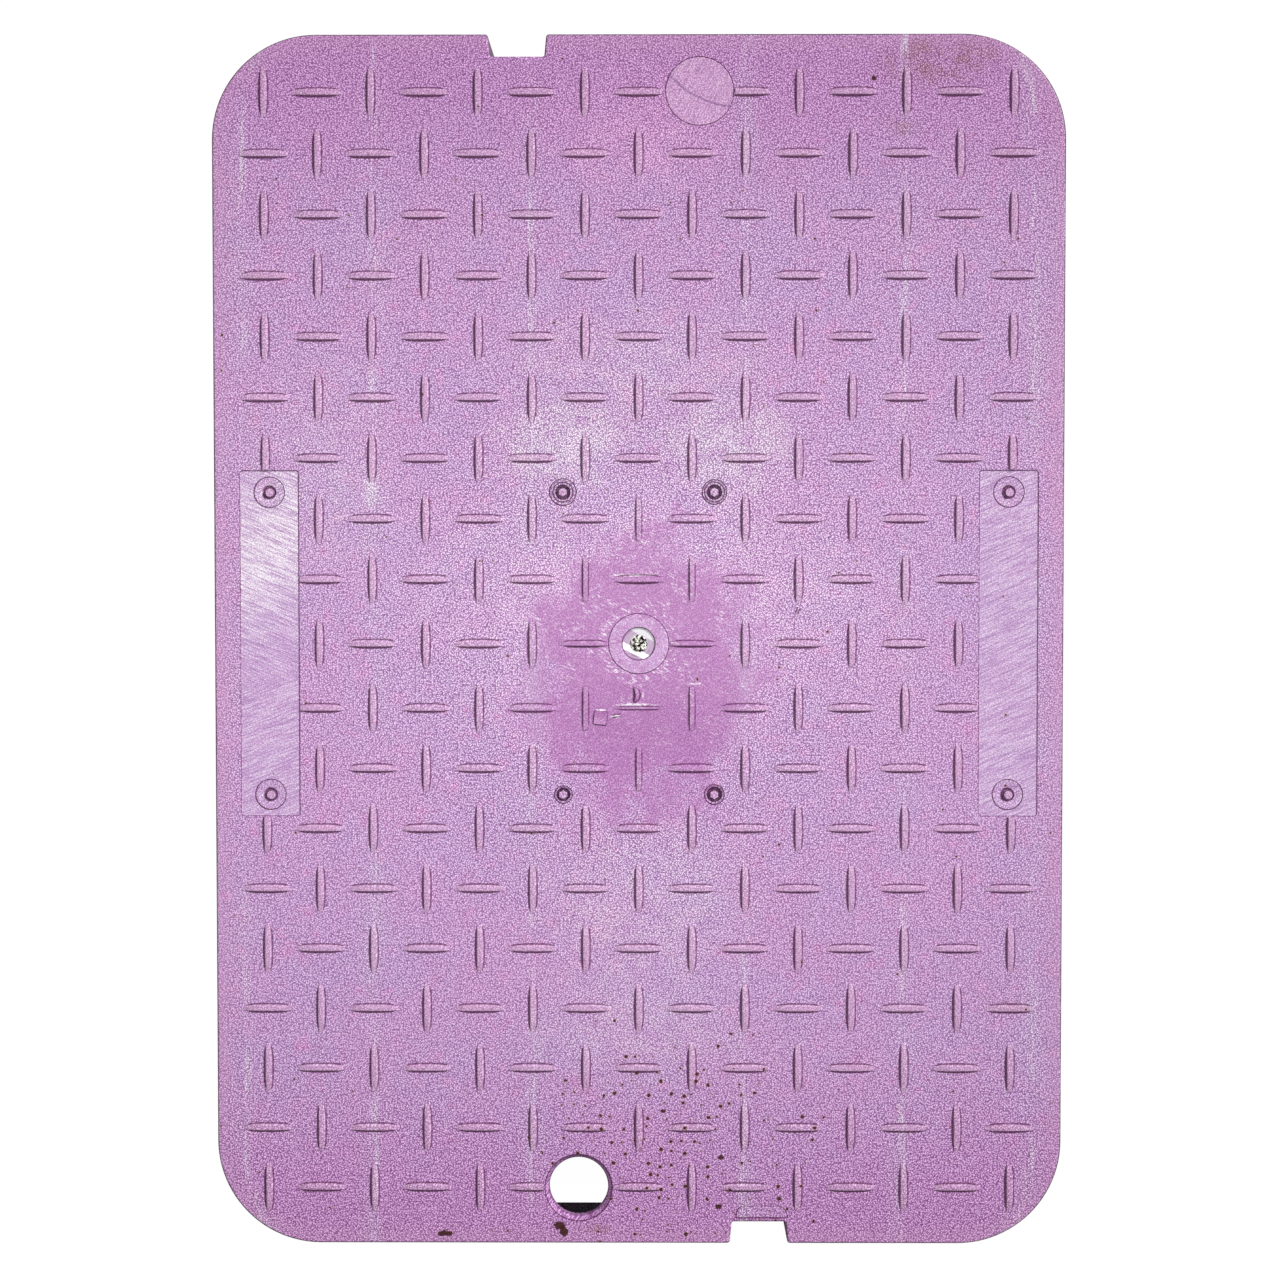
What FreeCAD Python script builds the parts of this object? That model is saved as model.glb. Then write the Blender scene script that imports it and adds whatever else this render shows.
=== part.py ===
import FreeCAD, Part
import math
import os
import Sketcher

# A meter box cover, moulded in one piece: a plate with a raised tread, a deep outer wall that stands on
# the box's ledge, and ribs between the walls underneath. X is across the cover, Y along it and Z up.
# The origin is under the middle of the cover, on the surface that its wall stands on.

SIZES = [
    ("cover_length", 425.5, "outside length"),
    ("cover_width", 298.5, "outside width"),
    ("cover_depth", 38.0, "from the foot of the wall to the plate's top face"),
    ("corner_radius", 36.5, "outside radius of the four corners"),
    ("edge_bevel", 0.7, "bevel of the plate's outer top edge"),
    ("plate_thickness", 5.5, "plate, from its top face to its underside"),
    ("wall_thickness", 4.5, "outer wall and the walls round the notches"),
    ("rib_thickness", 4.0, "ribs under the plate"),
    ("rib_lift", 3.0, "how far the ribs stop above the foot of the wall"),
    ("inner_rib_offset", 38.0, "inner long ribs, from the middle"),
    ("outer_rib_offset", 93.0, "outer long ribs, from the middle"),
    ("cross_rib_offset", 75.0, "cross ribs, from the middle"),
    ("notch_offset", 42.4, "middle of each pry notch, from the middle of its end"),
    ("notch_root", 19.0, "width of a notch at its root"),
    ("notch_mouth", 20.4, "width of a notch at the cover's edge"),
    ("notch_depth", 7.7, "depth of a notch into the cover"),
    ("bar_length", 17.8, "tread bar, tip to tip"),
    ("bar_width", 3.4, "tread bar, at its foot"),
    ("bar_straight", 7.6, "tread bar, its stretch of full width"),
    ("bar_height", 0.9, "tread bar, above the plate"),
    ("bar_flank_angle", 40.0, "lean of a bar's flanks, in degrees from upright"),
    ("column_step", 18.72, "between neighbouring columns of bars"),
    ("row_step", 21.25, "between neighbouring rows of bars"),
    ("first_row_step", 22.64, "between the middle row of bars and the next"),
    ("bare_rim", 5.0, "least distance from a bar's tip to the cover's edge"),
    ("panel_offset", 129.8, "middle of each flat side panel, from the middle"),
    ("panel_width", 21.1, "side panel, across the cover"),
    ("panel_length", 122.0, "side panel, along the cover"),
    ("panel_sink", 0.35, "side panel's face below the plate's"),
    ("mark_row_offset", 53.2, "both rows of screw marks, from the middle"),
    ("dish_diameter", 11.0, "dish of a panel's screw mark"),
    ("dish_sink", 0.3, "floor of that dish below the panel's face"),
    ("stub_diameter", 3.4, "round stub in the dish"),
    ("stub_height", 0.9, "round stub above the panel's face"),
    ("socket_mark_offset", 26.6, "middle screw marks, from the middle"),
    ("moat_diameter", 4.7, "round moat of a middle screw mark"),
    ("moat_sink", 0.8, "floor of the moat below the plate's face"),
    ("hex_flats", 2.9, "six-sided stub in the moat, across its flats"),
    ("hex_height", 0.6, "six-sided stub above the plate's face"),
    ("gate_diameter", 21.5, "flat round land at the middle of the cover"),
    ("gate_sink", 0.3, "land's face below the plate's"),
    ("well_diameter", 11.7, "well inside the land"),
    ("well_sink", 0.6, "well's floor below the land's face"),
    ("vestige_diameter", 4.4, "stump left where the moulding was cut from its feed"),
    ("vestige_height", 0.5, "that stump above the well's floor"),
    ("plug_offset", 21.35, "blank plug and pull hole, from the middle of their ends"),
    ("plug_inset", 19.85, "blank plug and pull hole, from the cover's end"),
    ("plug_diameter", 24.1, "blank plug, and the pull hole at its countersunk mouth"),
    ("plug_sink", 0.15, "blank plug's face below the plate's"),
    ("pull_diameter", 20.8, "pull hole's straight wall"),
    ("mouth_depth", 2.3, "depth of the pull hole's countersunk mouth"),
]

PLATE_TOP = "Sizes.cover_depth"
CAVITY_DEPTH = "(Sizes.cover_depth - Sizes.plate_thickness)"
HALF_LENGTH = "(Sizes.cover_length / 2)"
HALF_WIDTH = "(Sizes.cover_width / 2)"
PLUG_ALONG = f"({HALF_LENGTH} - Sizes.plug_inset)"
BAR_MARGIN = "(Sizes.bare_rim + Sizes.bar_length / 2)"

# A bar's foot is at the plate's top face, and its root reaches this far into the plate.
BAR_ROOT = "(Sizes.plate_thickness / 4)"

# Columns and rows of bars are counted from the middle ones, as far as the plate has room.
LAST_COLUMN = f"floor(({HALF_WIDTH} - {BAR_MARGIN}) / Sizes.column_step)"
LAST_ROW = f"(1 + floor(({HALF_LENGTH} - {BAR_MARGIN} - Sizes.first_row_step) / Sizes.row_step))"
LAST_ODD_COLUMN = f"(2 * floor(({LAST_COLUMN} + 1) / 2) - 1)"
LAST_EVEN_COLUMN = f"(2 * floor({LAST_COLUMN} / 2))"
ODD_ROWS = f"floor(({LAST_ROW} + 1) / 2)"
EVEN_ROWS = f"floor({LAST_ROW} / 2)"
MIDDLE_ROW = "0"
FIRST_ODD_ROW = "Sizes.first_row_step"
FIRST_EVEN_ROW = "(Sizes.first_row_step + Sizes.row_step)"

doc = FreeCAD.newDocument("MeterBoxCover")

sheet = doc.addObject("Spreadsheet::Sheet", "Sizes")
for row, (alias, value, note) in enumerate(SIZES, start=1):
    sheet.set(f"A{row}", note)
    sheet.set(f"B{row}", str(value))
    sheet.setAlias(f"B{row}", alias)
doc.recompute()


def value_of(expression):
    """The number that an expression gives with the sheet's present sizes."""
    return float(sheet.evalExpression(expression.replace("Sizes.", "")))


def bind_all(item, expressions):
    """Tie several properties of an object to the sheet."""
    for name, expression in expressions.items():
        item.setExpression(name, expression)


def origin_feature(body, role):
    """The body's own plane or axis of that role."""
    return next(item for item in body.Origin.OriginFeatures if item.Role == role)


def new_sketch(body, name, height):
    """A level sketch at the given height."""
    sketch = body.newObject("Sketcher::SketchObject", name)
    sketch.AttachmentSupport = [(origin_feature(body, "XY_Plane"), "")]
    sketch.MapMode = "FlatFace"
    sketch.setExpression("AttachmentOffset.Base.z", height)
    return sketch


def bind(sketch, kind, shape, ends, expression):
    """Add a dimension to a sketch and tie it to the sheet."""
    index = sketch.addConstraint(Sketcher.Constraint(kind, *ends, *shape, value_of(expression)))
    sketch.setExpression(f"Constraints[{index}]", expression)


def bind_across(sketch, shape, point, expression):
    """Hold a point at a signed distance across, from the sketch's origin."""
    bind(sketch, "DistanceX", (shape, point), (-1, 1), expression)


def bind_along(sketch, shape, point, expression):
    """Hold a point at a signed distance along, from the sketch's origin."""
    bind(sketch, "DistanceY", (shape, point), (-1, 1), expression)


def draw_polygon(sketch, points):
    """A closed outline of straight lines through points given as pairs of expressions."""
    spots = [FreeCAD.Vector(value_of(across), value_of(along), 0) for across, along in points]
    lines = []
    for start, end in zip(spots, spots[1:] + spots[:1]):
        lines.append(sketch.addGeometry(Part.LineSegment(start, end), False))
    for line, following in zip(lines, lines[1:] + lines[:1]):
        sketch.addConstraint(Sketcher.Constraint("Coincident", line, 2, following, 1))
    for line, (across, along) in zip(lines, points):
        bind_across(sketch, line, 1, across)
        bind_along(sketch, line, 1, along)


def draw_rectangle(sketch, middle_across, middle_along, half_across, half_along):
    """A rectangle about a middle point."""
    left = f"{middle_across} - {half_across}"
    right = f"{middle_across} + {half_across}"
    low = f"{middle_along} - {half_along}"
    high = f"{middle_along} + {half_along}"
    draw_polygon(sketch, [(left, low), (right, low), (right, high), (left, high)])


def draw_circle(sketch, across, along, diameter):
    """A circle about a middle point."""
    middle = FreeCAD.Vector(value_of(across), value_of(along), 0)
    circle = Part.Circle(middle, FreeCAD.Vector(0, 0, 1), value_of(diameter) / 2)
    shape = sketch.addGeometry(circle, False)
    bind_across(sketch, shape, 3, across)
    bind_along(sketch, shape, 3, along)
    bind(sketch, "Diameter", (shape,), (), diameter)


def draw_rounded_rectangle(sketch, half_across, half_along, radius):
    """A rectangle about the origin whose four corners are arcs that run into its sides."""
    x = value_of(half_across)
    y = value_of(half_along)
    r = value_of(radius)
    inset = r * (1 - math.sqrt(0.5))
    sides = []
    corners = []
    for turn in range(4):
        rotation = FreeCAD.Rotation(FreeCAD.Vector(0, 0, 1), 90 * turn)
        reach_out, reach_on = (y, x) if turn % 2 == 0 else (x, y)
        start = rotation.multVec(FreeCAD.Vector(r - reach_on, -reach_out, 0))
        end = rotation.multVec(FreeCAD.Vector(reach_on - r, -reach_out, 0))
        bend = rotation.multVec(FreeCAD.Vector(reach_on - inset, inset - reach_out, 0))
        after = rotation.multVec(FreeCAD.Vector(reach_on, r - reach_out, 0))
        sides.append(sketch.addGeometry(Part.LineSegment(start, end), False))
        corners.append(sketch.addGeometry(Part.Arc(end, bend, after), False))
    for turn in range(4):
        following = sides[(turn + 1) % 4]
        sketch.addConstraint(Sketcher.Constraint("Tangent", sides[turn], 2, corners[turn], 1))
        sketch.addConstraint(Sketcher.Constraint("Tangent", corners[turn], 2, following, 1))
        level = "Horizontal" if turn % 2 == 0 else "Vertical"
        sketch.addConstraint(Sketcher.Constraint(level, sides[turn]))
    for corner in corners[1:]:
        sketch.addConstraint(Sketcher.Constraint("Equal", corners[0], corner))
    bind(sketch, "Radius", (corners[0],), (), radius)
    bind_along(sketch, sides[0], 1, f"-{half_along}")
    bind_across(sketch, sides[1], 1, half_across)
    bind_along(sketch, sides[2], 1, half_along)
    bind_across(sketch, sides[3], 1, f"-{half_across}")


def raise_pad(body, name, sketch, length):
    """Material added upwards from a sketch."""
    pad = body.newObject("PartDesign::Pad", name)
    pad.Profile = sketch
    pad.setExpression("Length", length)
    return pad


def sink_pocket(body, name, sketch, length):
    """Material cut away downwards from a sketch."""
    pocket = body.newObject("PartDesign::Pocket", name)
    pocket.Profile = sketch
    pocket.setExpression("Length", length)
    return pocket


def repeat_in_four(body, name, originals, across, along):
    """Features drawn in the left lower quarter, repeated in the other three."""
    pattern = body.newObject("PartDesign::LinearPattern", name)
    pattern.Originals = originals
    pattern.Direction = (origin_feature(body, "X_Axis"), [""])
    pattern.Direction2 = (origin_feature(body, "Y_Axis"), [""])
    pattern.Occurrences = 2
    pattern.Occurrences2 = 2
    bind_all(pattern, {"Length": f"2 * {across}", "Length2": f"2 * {along}"})
    body.Tip = pattern


def make_shell(body):
    """The plate with its outer wall, open underneath."""
    outline = new_sketch(body, "outline", "0")
    draw_rounded_rectangle(outline, HALF_WIDTH, HALF_LENGTH, "Sizes.corner_radius")
    block = raise_pad(body, "block", outline, PLATE_TOP)
    doc.recompute()

    top = block.Shape.BoundBox.ZMax
    upper_edges = []
    for index, edge in enumerate(block.Shape.Edges, start=1):
        if edge.BoundBox.ZMin > top - edge.Tolerance:
            upper_edges.append(f"Edge{index}")
    bevel = body.newObject("PartDesign::Chamfer", "bevelled_edge")
    bevel.Base = (block, upper_edges)
    bevel.setExpression("Size", "Sizes.edge_bevel")

    inside = new_sketch(body, "inside", "0")
    wall = "Sizes.wall_thickness"
    draw_rounded_rectangle(
        inside, f"({HALF_WIDTH} - {wall})", f"({HALF_LENGTH} - {wall})", f"(Sizes.corner_radius - {wall})"
    )
    cavity = sink_pocket(body, "cavity", inside, CAVITY_DEPTH)
    cavity.Reversed = True


def make_ribs(body):
    """Ribs that hang from the plate and run into the middle of the outer wall."""
    half_rib = "Sizes.rib_thickness / 2"
    rib_length = f"{CAVITY_DEPTH} - Sizes.rib_lift"

    long_ribs = new_sketch(body, "long_rib_outlines", "Sizes.rib_lift")
    for offset in ("Sizes.inner_rib_offset", "Sizes.outer_rib_offset"):
        for middle in (f"-{offset}", offset):
            draw_rectangle(long_ribs, middle, "0", half_rib, f"({HALF_LENGTH} - Sizes.wall_thickness / 2)")
    raise_pad(body, "long_ribs", long_ribs, rib_length)

    cross_ribs = new_sketch(body, "cross_rib_outlines", "Sizes.rib_lift")
    for middle in ("-Sizes.cross_rib_offset", "Sizes.cross_rib_offset"):
        draw_rectangle(cross_ribs, "0", middle, f"({HALF_WIDTH} - Sizes.wall_thickness / 2)", half_rib)
    raise_pad(body, "cross_ribs", cross_ribs, rib_length)


def make_notches(body):
    """A pry notch in each end, with the outer wall carried round behind it."""
    wall = "Sizes.wall_thickness"
    middle = "-Sizes.notch_offset"
    lining = new_sketch(body, "notch_lining_outline", "0")
    draw_rectangle(
        lining,
        middle,
        f"({HALF_LENGTH} - (Sizes.notch_depth + {wall}) / 2 - {wall} / 4)",
        f"(Sizes.notch_mouth / 2 + {wall})",
        f"((Sizes.notch_depth + {wall}) / 2 - {wall} / 4)",
    )
    lining_pad = raise_pad(body, "notch_lining", lining, CAVITY_DEPTH)

    root = f"({HALF_LENGTH} - Sizes.notch_depth)"
    past_edge = f"({HALF_LENGTH} + Sizes.notch_depth)"
    half_root = "Sizes.notch_root / 2"
    half_past_edge = "(Sizes.notch_mouth - Sizes.notch_root / 2)"
    cut = new_sketch(body, "notch_outline", PLATE_TOP)
    draw_polygon(
        cut,
        [
            (f"{middle} - {half_root}", root),
            (f"{middle} + {half_root}", root),
            (f"{middle} + {half_past_edge}", past_edge),
            (f"{middle} - {half_past_edge}", past_edge),
        ],
    )
    notch = body.newObject("PartDesign::Pocket", "notch")
    notch.Profile = cut
    notch.Type = "ThroughAll"

    both_ends = body.newObject("PartDesign::PolarPattern", "notches")
    both_ends.Originals = [lining_pad, notch]
    both_ends.Axis = (origin_feature(body, "Z_Axis"), [""])
    both_ends.Angle = 360
    both_ends.Occurrences = 2
    body.Tip = both_ends


def make_panels(body):
    """The two flat side panels, each with two screw marks: a round stub in a shallow dish."""
    floor = f"({PLATE_TOP} - Sizes.panel_sink)"
    dish_floor = f"({floor} - Sizes.dish_sink)"
    across = "-Sizes.panel_offset"
    along = "-Sizes.mark_row_offset"

    panels = new_sketch(body, "panel_outlines", PLATE_TOP)
    for middle in (across, "Sizes.panel_offset"):
        draw_rectangle(panels, middle, "0", "Sizes.panel_width / 2", "Sizes.panel_length / 2")
    sink_pocket(body, "panels", panels, "Sizes.panel_sink")

    dish_outline = new_sketch(body, "dish_outline", floor)
    draw_circle(dish_outline, across, along, "Sizes.dish_diameter")
    dish = sink_pocket(body, "dish", dish_outline, "Sizes.dish_sink")
    stub_outline = new_sketch(body, "stub_outline", dish_floor)
    draw_circle(stub_outline, across, along, "Sizes.stub_diameter")
    stub = raise_pad(body, "stub", stub_outline, "Sizes.dish_sink + Sizes.stub_height")
    repeat_in_four(body, "panel_marks", [dish, stub], "Sizes.panel_offset", "Sizes.mark_row_offset")


def make_socket_marks(body):
    """Four screw marks round the middle: a six-sided stub in a round moat."""
    across = "-Sizes.socket_mark_offset"
    along = "-Sizes.mark_row_offset"
    moat_outline = new_sketch(body, "moat_outline", PLATE_TOP)
    draw_circle(moat_outline, across, along, "Sizes.moat_diameter")
    moat = sink_pocket(body, "moat", moat_outline, "Sizes.moat_sink")

    corner = "Sizes.hex_flats / sqrt(3)"
    flat = "Sizes.hex_flats / 2"
    hex_outline = new_sketch(body, "hex_outline", f"{PLATE_TOP} - Sizes.moat_sink")
    draw_polygon(
        hex_outline,
        [
            (f"{across} - {corner}", along),
            (f"{across} - {corner} / 2", f"{along} - {flat}"),
            (f"{across} + {corner} / 2", f"{along} - {flat}"),
            (f"{across} + {corner}", along),
            (f"{across} + {corner} / 2", f"{along} + {flat}"),
            (f"{across} - {corner} / 2", f"{along} + {flat}"),
        ],
    )
    hex_stub = raise_pad(body, "hex_stub", hex_outline, "Sizes.moat_sink + Sizes.hex_height")
    offset = "Sizes.socket_mark_offset"
    repeat_in_four(body, "socket_marks", [moat, hex_stub], offset, "Sizes.mark_row_offset")


def make_gate(body):
    """The moulding's feed point: a round land, a well inside it and the stump of the feed."""
    land_face = f"({PLATE_TOP} - Sizes.gate_sink)"
    well_floor = f"({land_face} - Sizes.well_sink)"
    land = new_sketch(body, "gate_land_outline", PLATE_TOP)
    draw_circle(land, "0", "0", "Sizes.gate_diameter")
    sink_pocket(body, "gate_land", land, "Sizes.gate_sink")
    well = new_sketch(body, "gate_well_outline", land_face)
    draw_circle(well, "0", "0", "Sizes.well_diameter")
    sink_pocket(body, "gate_well", well, "Sizes.well_sink")
    stump = new_sketch(body, "gate_vestige_outline", well_floor)
    draw_circle(stump, "0", "0", "Sizes.vestige_diameter")
    raise_pad(body, "gate_vestige", stump, "Sizes.vestige_height")


def make_pull_hole(body):
    """The pull hole near one end, with its countersunk mouth, and the blank plug near the other."""
    plug = new_sketch(body, "plug_outline", PLATE_TOP)
    draw_circle(plug, "Sizes.plug_offset", PLUG_ALONG, "Sizes.plug_diameter")
    sink_pocket(body, "blank_plug", plug, "Sizes.plug_sink")

    profile = body.newObject("Sketcher::SketchObject", "pull_hole_profile")
    profile.AttachmentSupport = [(origin_feature(body, "XZ_Plane"), "")]
    profile.MapMode = "FlatFace"
    profile.setExpression("AttachmentOffset.Base.x", "-Sizes.plug_offset")
    profile.setExpression("AttachmentOffset.Base.z", PLUG_ALONG)
    under = f"({CAVITY_DEPTH} - Sizes.plate_thickness)"
    over = f"({PLATE_TOP} + Sizes.plate_thickness)"
    draw_polygon(
        profile,
        [
            ("0", under),
            ("Sizes.pull_diameter / 2", under),
            ("Sizes.pull_diameter / 2", f"{PLATE_TOP} - Sizes.mouth_depth"),
            ("Sizes.plug_diameter / 2", PLATE_TOP),
            ("Sizes.plug_diameter / 2", over),
            ("0", over),
        ],
    )
    hole = body.newObject("PartDesign::Groove", "pull_hole")
    hole.Profile = profile
    hole.ReferenceAxis = (profile, ["V_Axis"])
    hole.Angle = 360


def make_bars(name, upright, last_column, first_row, rows):
    """Tread bars in every other column of every other row, mirrored to the cover's other end."""
    body = doc.addObject("PartDesign::Body", name)
    across = f"-{last_column} * Sizes.column_step"
    half_length = "Sizes.bar_length / 2"
    half_width = "Sizes.bar_width / 2"
    half_straight = "Sizes.bar_straight / 2"
    corners = [
        (f"-{half_length}", "0"),
        (f"-{half_straight}", f"-{half_width}"),
        (half_straight, f"-{half_width}"),
        (half_length, "0"),
        (half_straight, half_width),
        (f"-{half_straight}", half_width),
    ]
    if upright:
        corners = [(f"-({along})", on) for on, along in corners]
    outline = new_sketch(body, f"{name}_outline", PLATE_TOP)
    draw_polygon(outline, [(f"{across} + ({right})", f"{first_row} + ({up})") for right, up in corners])
    pad = raise_pad(body, f"{name}_pad", outline, "Sizes.bar_height")
    pad.SideType = "Two sides"
    pad.setExpression("Length2", BAR_ROOT)
    foot = body.newObject("PartDesign::Plane", f"{name}_foot")
    foot.AttachmentSupport = [(origin_feature(body, "XY_Plane"), "")]
    foot.MapMode = "FlatFace"
    foot.setExpression("AttachmentOffset.Base.z", PLATE_TOP)
    doc.recompute()

    flanks = []
    for index, face in enumerate(pad.Shape.Faces, start=1):
        if face.BoundBox.ZLength > pad.Shape.BoundBox.ZLength / 2:
            flanks.append(f"Face{index}")
    sloped = body.newObject("PartDesign::Draft", f"{name}_flanks")
    sloped.Base = (pad, flanks)
    sloped.NeutralPlane = (foot, [""])
    sloped.setExpression("Angle", "Sizes.bar_flank_angle")
    doc.recompute()

    lattice = body.newObject("PartDesign::LinearPattern", f"{name}_lattice")
    lattice.TransformMode = "Whole shape"
    lattice.Direction = (origin_feature(body, "X_Axis"), [""])
    lattice.Direction2 = (origin_feature(body, "Y_Axis"), [""])
    bind_all(
        lattice,
        {
            "Length": f"2 * {last_column} * Sizes.column_step",
            "Occurrences": f"{last_column} + 1",
            "Length2": f"2 * max({rows} - 1; 1) * Sizes.row_step",
            "Occurrences2": rows,
        },
    )
    body.Tip = lattice
    if first_row != MIDDLE_ROW:
        ends = body.newObject("PartDesign::Mirrored", f"{name}_both_ends")
        ends.TransformMode = "Whole shape"
        ends.MirrorPlane = (origin_feature(body, "XZ_Plane"), [""])
        body.Tip = ends
    return body


def make_tread():
    """All the bars, crossing from column to column and from row to row."""
    return [
        make_bars("upright_bars_odd_rows", True, LAST_ODD_COLUMN, FIRST_ODD_ROW, ODD_ROWS),
        make_bars("level_bars_odd_rows", False, LAST_EVEN_COLUMN, FIRST_ODD_ROW, ODD_ROWS),
        make_bars("upright_bars_even_rows", True, LAST_EVEN_COLUMN, FIRST_EVEN_ROW, EVEN_ROWS),
        make_bars("level_bars_even_rows", False, LAST_ODD_COLUMN, FIRST_EVEN_ROW, EVEN_ROWS),
        make_bars("upright_bars_middle_row", True, LAST_EVEN_COLUMN, MIDDLE_ROW, "1"),
        make_bars("level_bars_middle_row", False, LAST_ODD_COLUMN, MIDDLE_ROW, "1"),
    ]


def make_clear_areas():
    """The places where mould inserts stop the bars: the panels, the gate, the plug and the pull hole."""
    areas = []
    for name, side in (("left", "-"), ("right", "")):
        box = doc.addObject("Part::Box", f"{name}_panel_area")
        bind_all(
            box,
            {
                "Length": "Sizes.panel_width",
                "Width": "Sizes.panel_length",
                "Height": "2 * (Sizes.bar_height + Sizes.plate_thickness)",
                "Placement.Base.x": f"{side}Sizes.panel_offset - Sizes.panel_width / 2",
                "Placement.Base.y": "-Sizes.panel_length / 2",
                "Placement.Base.z": f"{PLATE_TOP} - Sizes.plate_thickness",
            },
        )
        areas.append(box)
    rounds = [
        ("gate_area", "Sizes.gate_diameter", "0", "0"),
        ("plug_area", "Sizes.plug_diameter", "Sizes.plug_offset", PLUG_ALONG),
        ("pull_hole_area", "Sizes.plug_diameter", "-Sizes.plug_offset", f"-{PLUG_ALONG}"),
    ]
    for name, diameter, across, along in rounds:
        drum = doc.addObject("Part::Cylinder", name)
        bind_all(
            drum,
            {
                "Radius": f"{diameter} / 2",
                "Height": "2 * (Sizes.bar_height + Sizes.plate_thickness)",
                "Placement.Base.x": across,
                "Placement.Base.y": along,
                "Placement.Base.z": f"{PLATE_TOP} - Sizes.plate_thickness",
            },
        )
        areas.append(drum)
    clear_areas = doc.addObject("Part::Compound", "clear_areas")
    clear_areas.Links = areas
    return clear_areas


def make_cover():
    """The plain cover and the trimmed tread, joined into one moulding."""
    plain = doc.addObject("PartDesign::Body", "plain_cover")
    make_shell(plain)
    make_ribs(plain)
    make_notches(plain)
    make_panels(plain)
    make_socket_marks(plain)
    make_gate(plain)
    make_pull_hole(plain)

    tread = doc.addObject("Part::Compound", "tread")
    tread.Links = make_tread()
    trimmed = doc.addObject("Part::Cut", "trimmed_tread")
    trimmed.Base = tread
    trimmed.Tool = make_clear_areas()

    cover = doc.addObject("Part::Fuse", "cover")
    cover.Label = "cover"
    cover.Base = plain
    cover.Tool = trimmed
    doc.recompute()
    return cover


def check_document():
    """Stop if any object of the document failed to build."""
    for item in doc.Objects:
        if "Invalid" in item.State or "Error" in item.State:
            raise RuntimeError(f"{item.Name} failed: {item.State}")


def write_part(item):
    """Write one finished sub-part, a single sound solid, under its label."""
    shape = item.Shape
    if shape.isNull() or not shape.isValid() or len(shape.Solids) != 1:
        raise RuntimeError(f"{item.Label} is not one sound solid")
    shape.exportStep(os.path.join("parts", f"{item.Label}.step"))


cover = make_cover()
check_document()
os.makedirs("parts", exist_ok=True)
write_part(cover)
print(f"{cover.Label}: {cover.Shape.Volume / 1000:.1f} cubic centimetres, {len(cover.Shape.Faces)} faces")
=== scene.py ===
import math
import random

import bpy
from mathutils import Matrix, Vector, noise
from mathutils.geometry import delaunay_2d_cdt


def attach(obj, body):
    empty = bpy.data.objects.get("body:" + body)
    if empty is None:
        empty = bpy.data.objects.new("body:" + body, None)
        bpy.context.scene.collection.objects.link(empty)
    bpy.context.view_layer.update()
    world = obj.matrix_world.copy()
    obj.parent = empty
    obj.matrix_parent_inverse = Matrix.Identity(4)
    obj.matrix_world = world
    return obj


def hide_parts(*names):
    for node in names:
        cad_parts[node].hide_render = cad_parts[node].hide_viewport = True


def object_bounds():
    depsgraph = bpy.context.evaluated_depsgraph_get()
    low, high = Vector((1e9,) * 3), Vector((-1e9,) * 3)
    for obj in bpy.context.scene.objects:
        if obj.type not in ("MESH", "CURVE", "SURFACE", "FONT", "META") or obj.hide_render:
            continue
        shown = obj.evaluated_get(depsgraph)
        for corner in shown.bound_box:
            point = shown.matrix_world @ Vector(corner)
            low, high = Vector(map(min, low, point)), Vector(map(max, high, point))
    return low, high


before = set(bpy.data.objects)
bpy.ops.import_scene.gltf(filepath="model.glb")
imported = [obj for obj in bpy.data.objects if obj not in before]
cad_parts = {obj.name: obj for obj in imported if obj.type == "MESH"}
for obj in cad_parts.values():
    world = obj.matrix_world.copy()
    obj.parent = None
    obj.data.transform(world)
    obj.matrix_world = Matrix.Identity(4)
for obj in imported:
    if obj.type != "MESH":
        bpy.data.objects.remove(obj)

# The looks of a meter box cover, moulded in lavender plastic and seen from above. Sizes are in millimetres
# until a mesh is made. X is across the cover, Y along it and Z up, as in the frame.

MM = 0.001
cad_low, cad_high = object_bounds()
HALF_WIDTH = cad_high.x / MM
HALF_LENGTH = cad_high.y / MM
BAR_HEIGHT = 0.9
TOP = cad_high.z / MM - BAR_HEIGHT

CORNER_RADIUS = 36.5
WALL = 4.5
PLATE_THICKNESS = 5.5
CEILING = TOP - PLATE_THICKNESS
RIB_HALF = 2.0
RIB_FOOT = 3.0
LEDGE = 0.15
CELL_RADIUS = 2.5
LINING_RADIUS = 2.0
LONG_RIBS = (-93.0, -38.0, 38.0, 93.0)
CROSS_RIBS = (-75.0, 75.0)
NOTCH_OFFSET = 42.4
NOTCH_ROOT_HALF = 9.5
NOTCH_MOUTH_HALF = 10.2
NOTCH_DEPTH = 7.7

BAR_HALF_LENGTH = 8.9
BAR_TOP_HALF = 0.78
BAR_FLANK = 0.8
COLUMN_STEP = 18.72
ROW_STEP = 21.25
FIRST_ROW_STEP = 22.64
MOST_WORN = 0.88
LAST_COLUMN = 7
LAST_ROW = 9

PANEL_OFFSET = 129.8
PANEL_HALF_WIDTH = 10.55
PANEL_HALF_LENGTH = 61.0
PANEL_FLOOR = TOP - 0.35
MARK_ROW = 53.2
SOCKET_MARK_OFFSET = 26.6
GATE_RADIUS = 10.75
WELL_RADIUS = 5.85
PLUG_OFFSET = 21.35
PLUG_ALONG = HALF_LENGTH - 19.85
PLUG_RADIUS = 12.05
PULL_RADIUS = 10.4

# How far the flat rim of a round feature reaches past it, and a bar's gap from a panel.
RIM = 0.3
PANEL_GAP = 0.12

SEED = 20
CHORD_ERROR = 0.02
SQUARE = ((-1, -1), (1, -1), (1, 1), (-1, 1))


def finish(brushed=0.0, brush_angle=0.0, gloss=0.0, dark=0.0):
    """How a face looks: brushed at an angle, polished, darkened with painted shade, or plainly grained."""
    return {"brushed": brushed, "brush_angle": math.radians(brush_angle), "gloss": gloss, "dark": dark}


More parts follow.
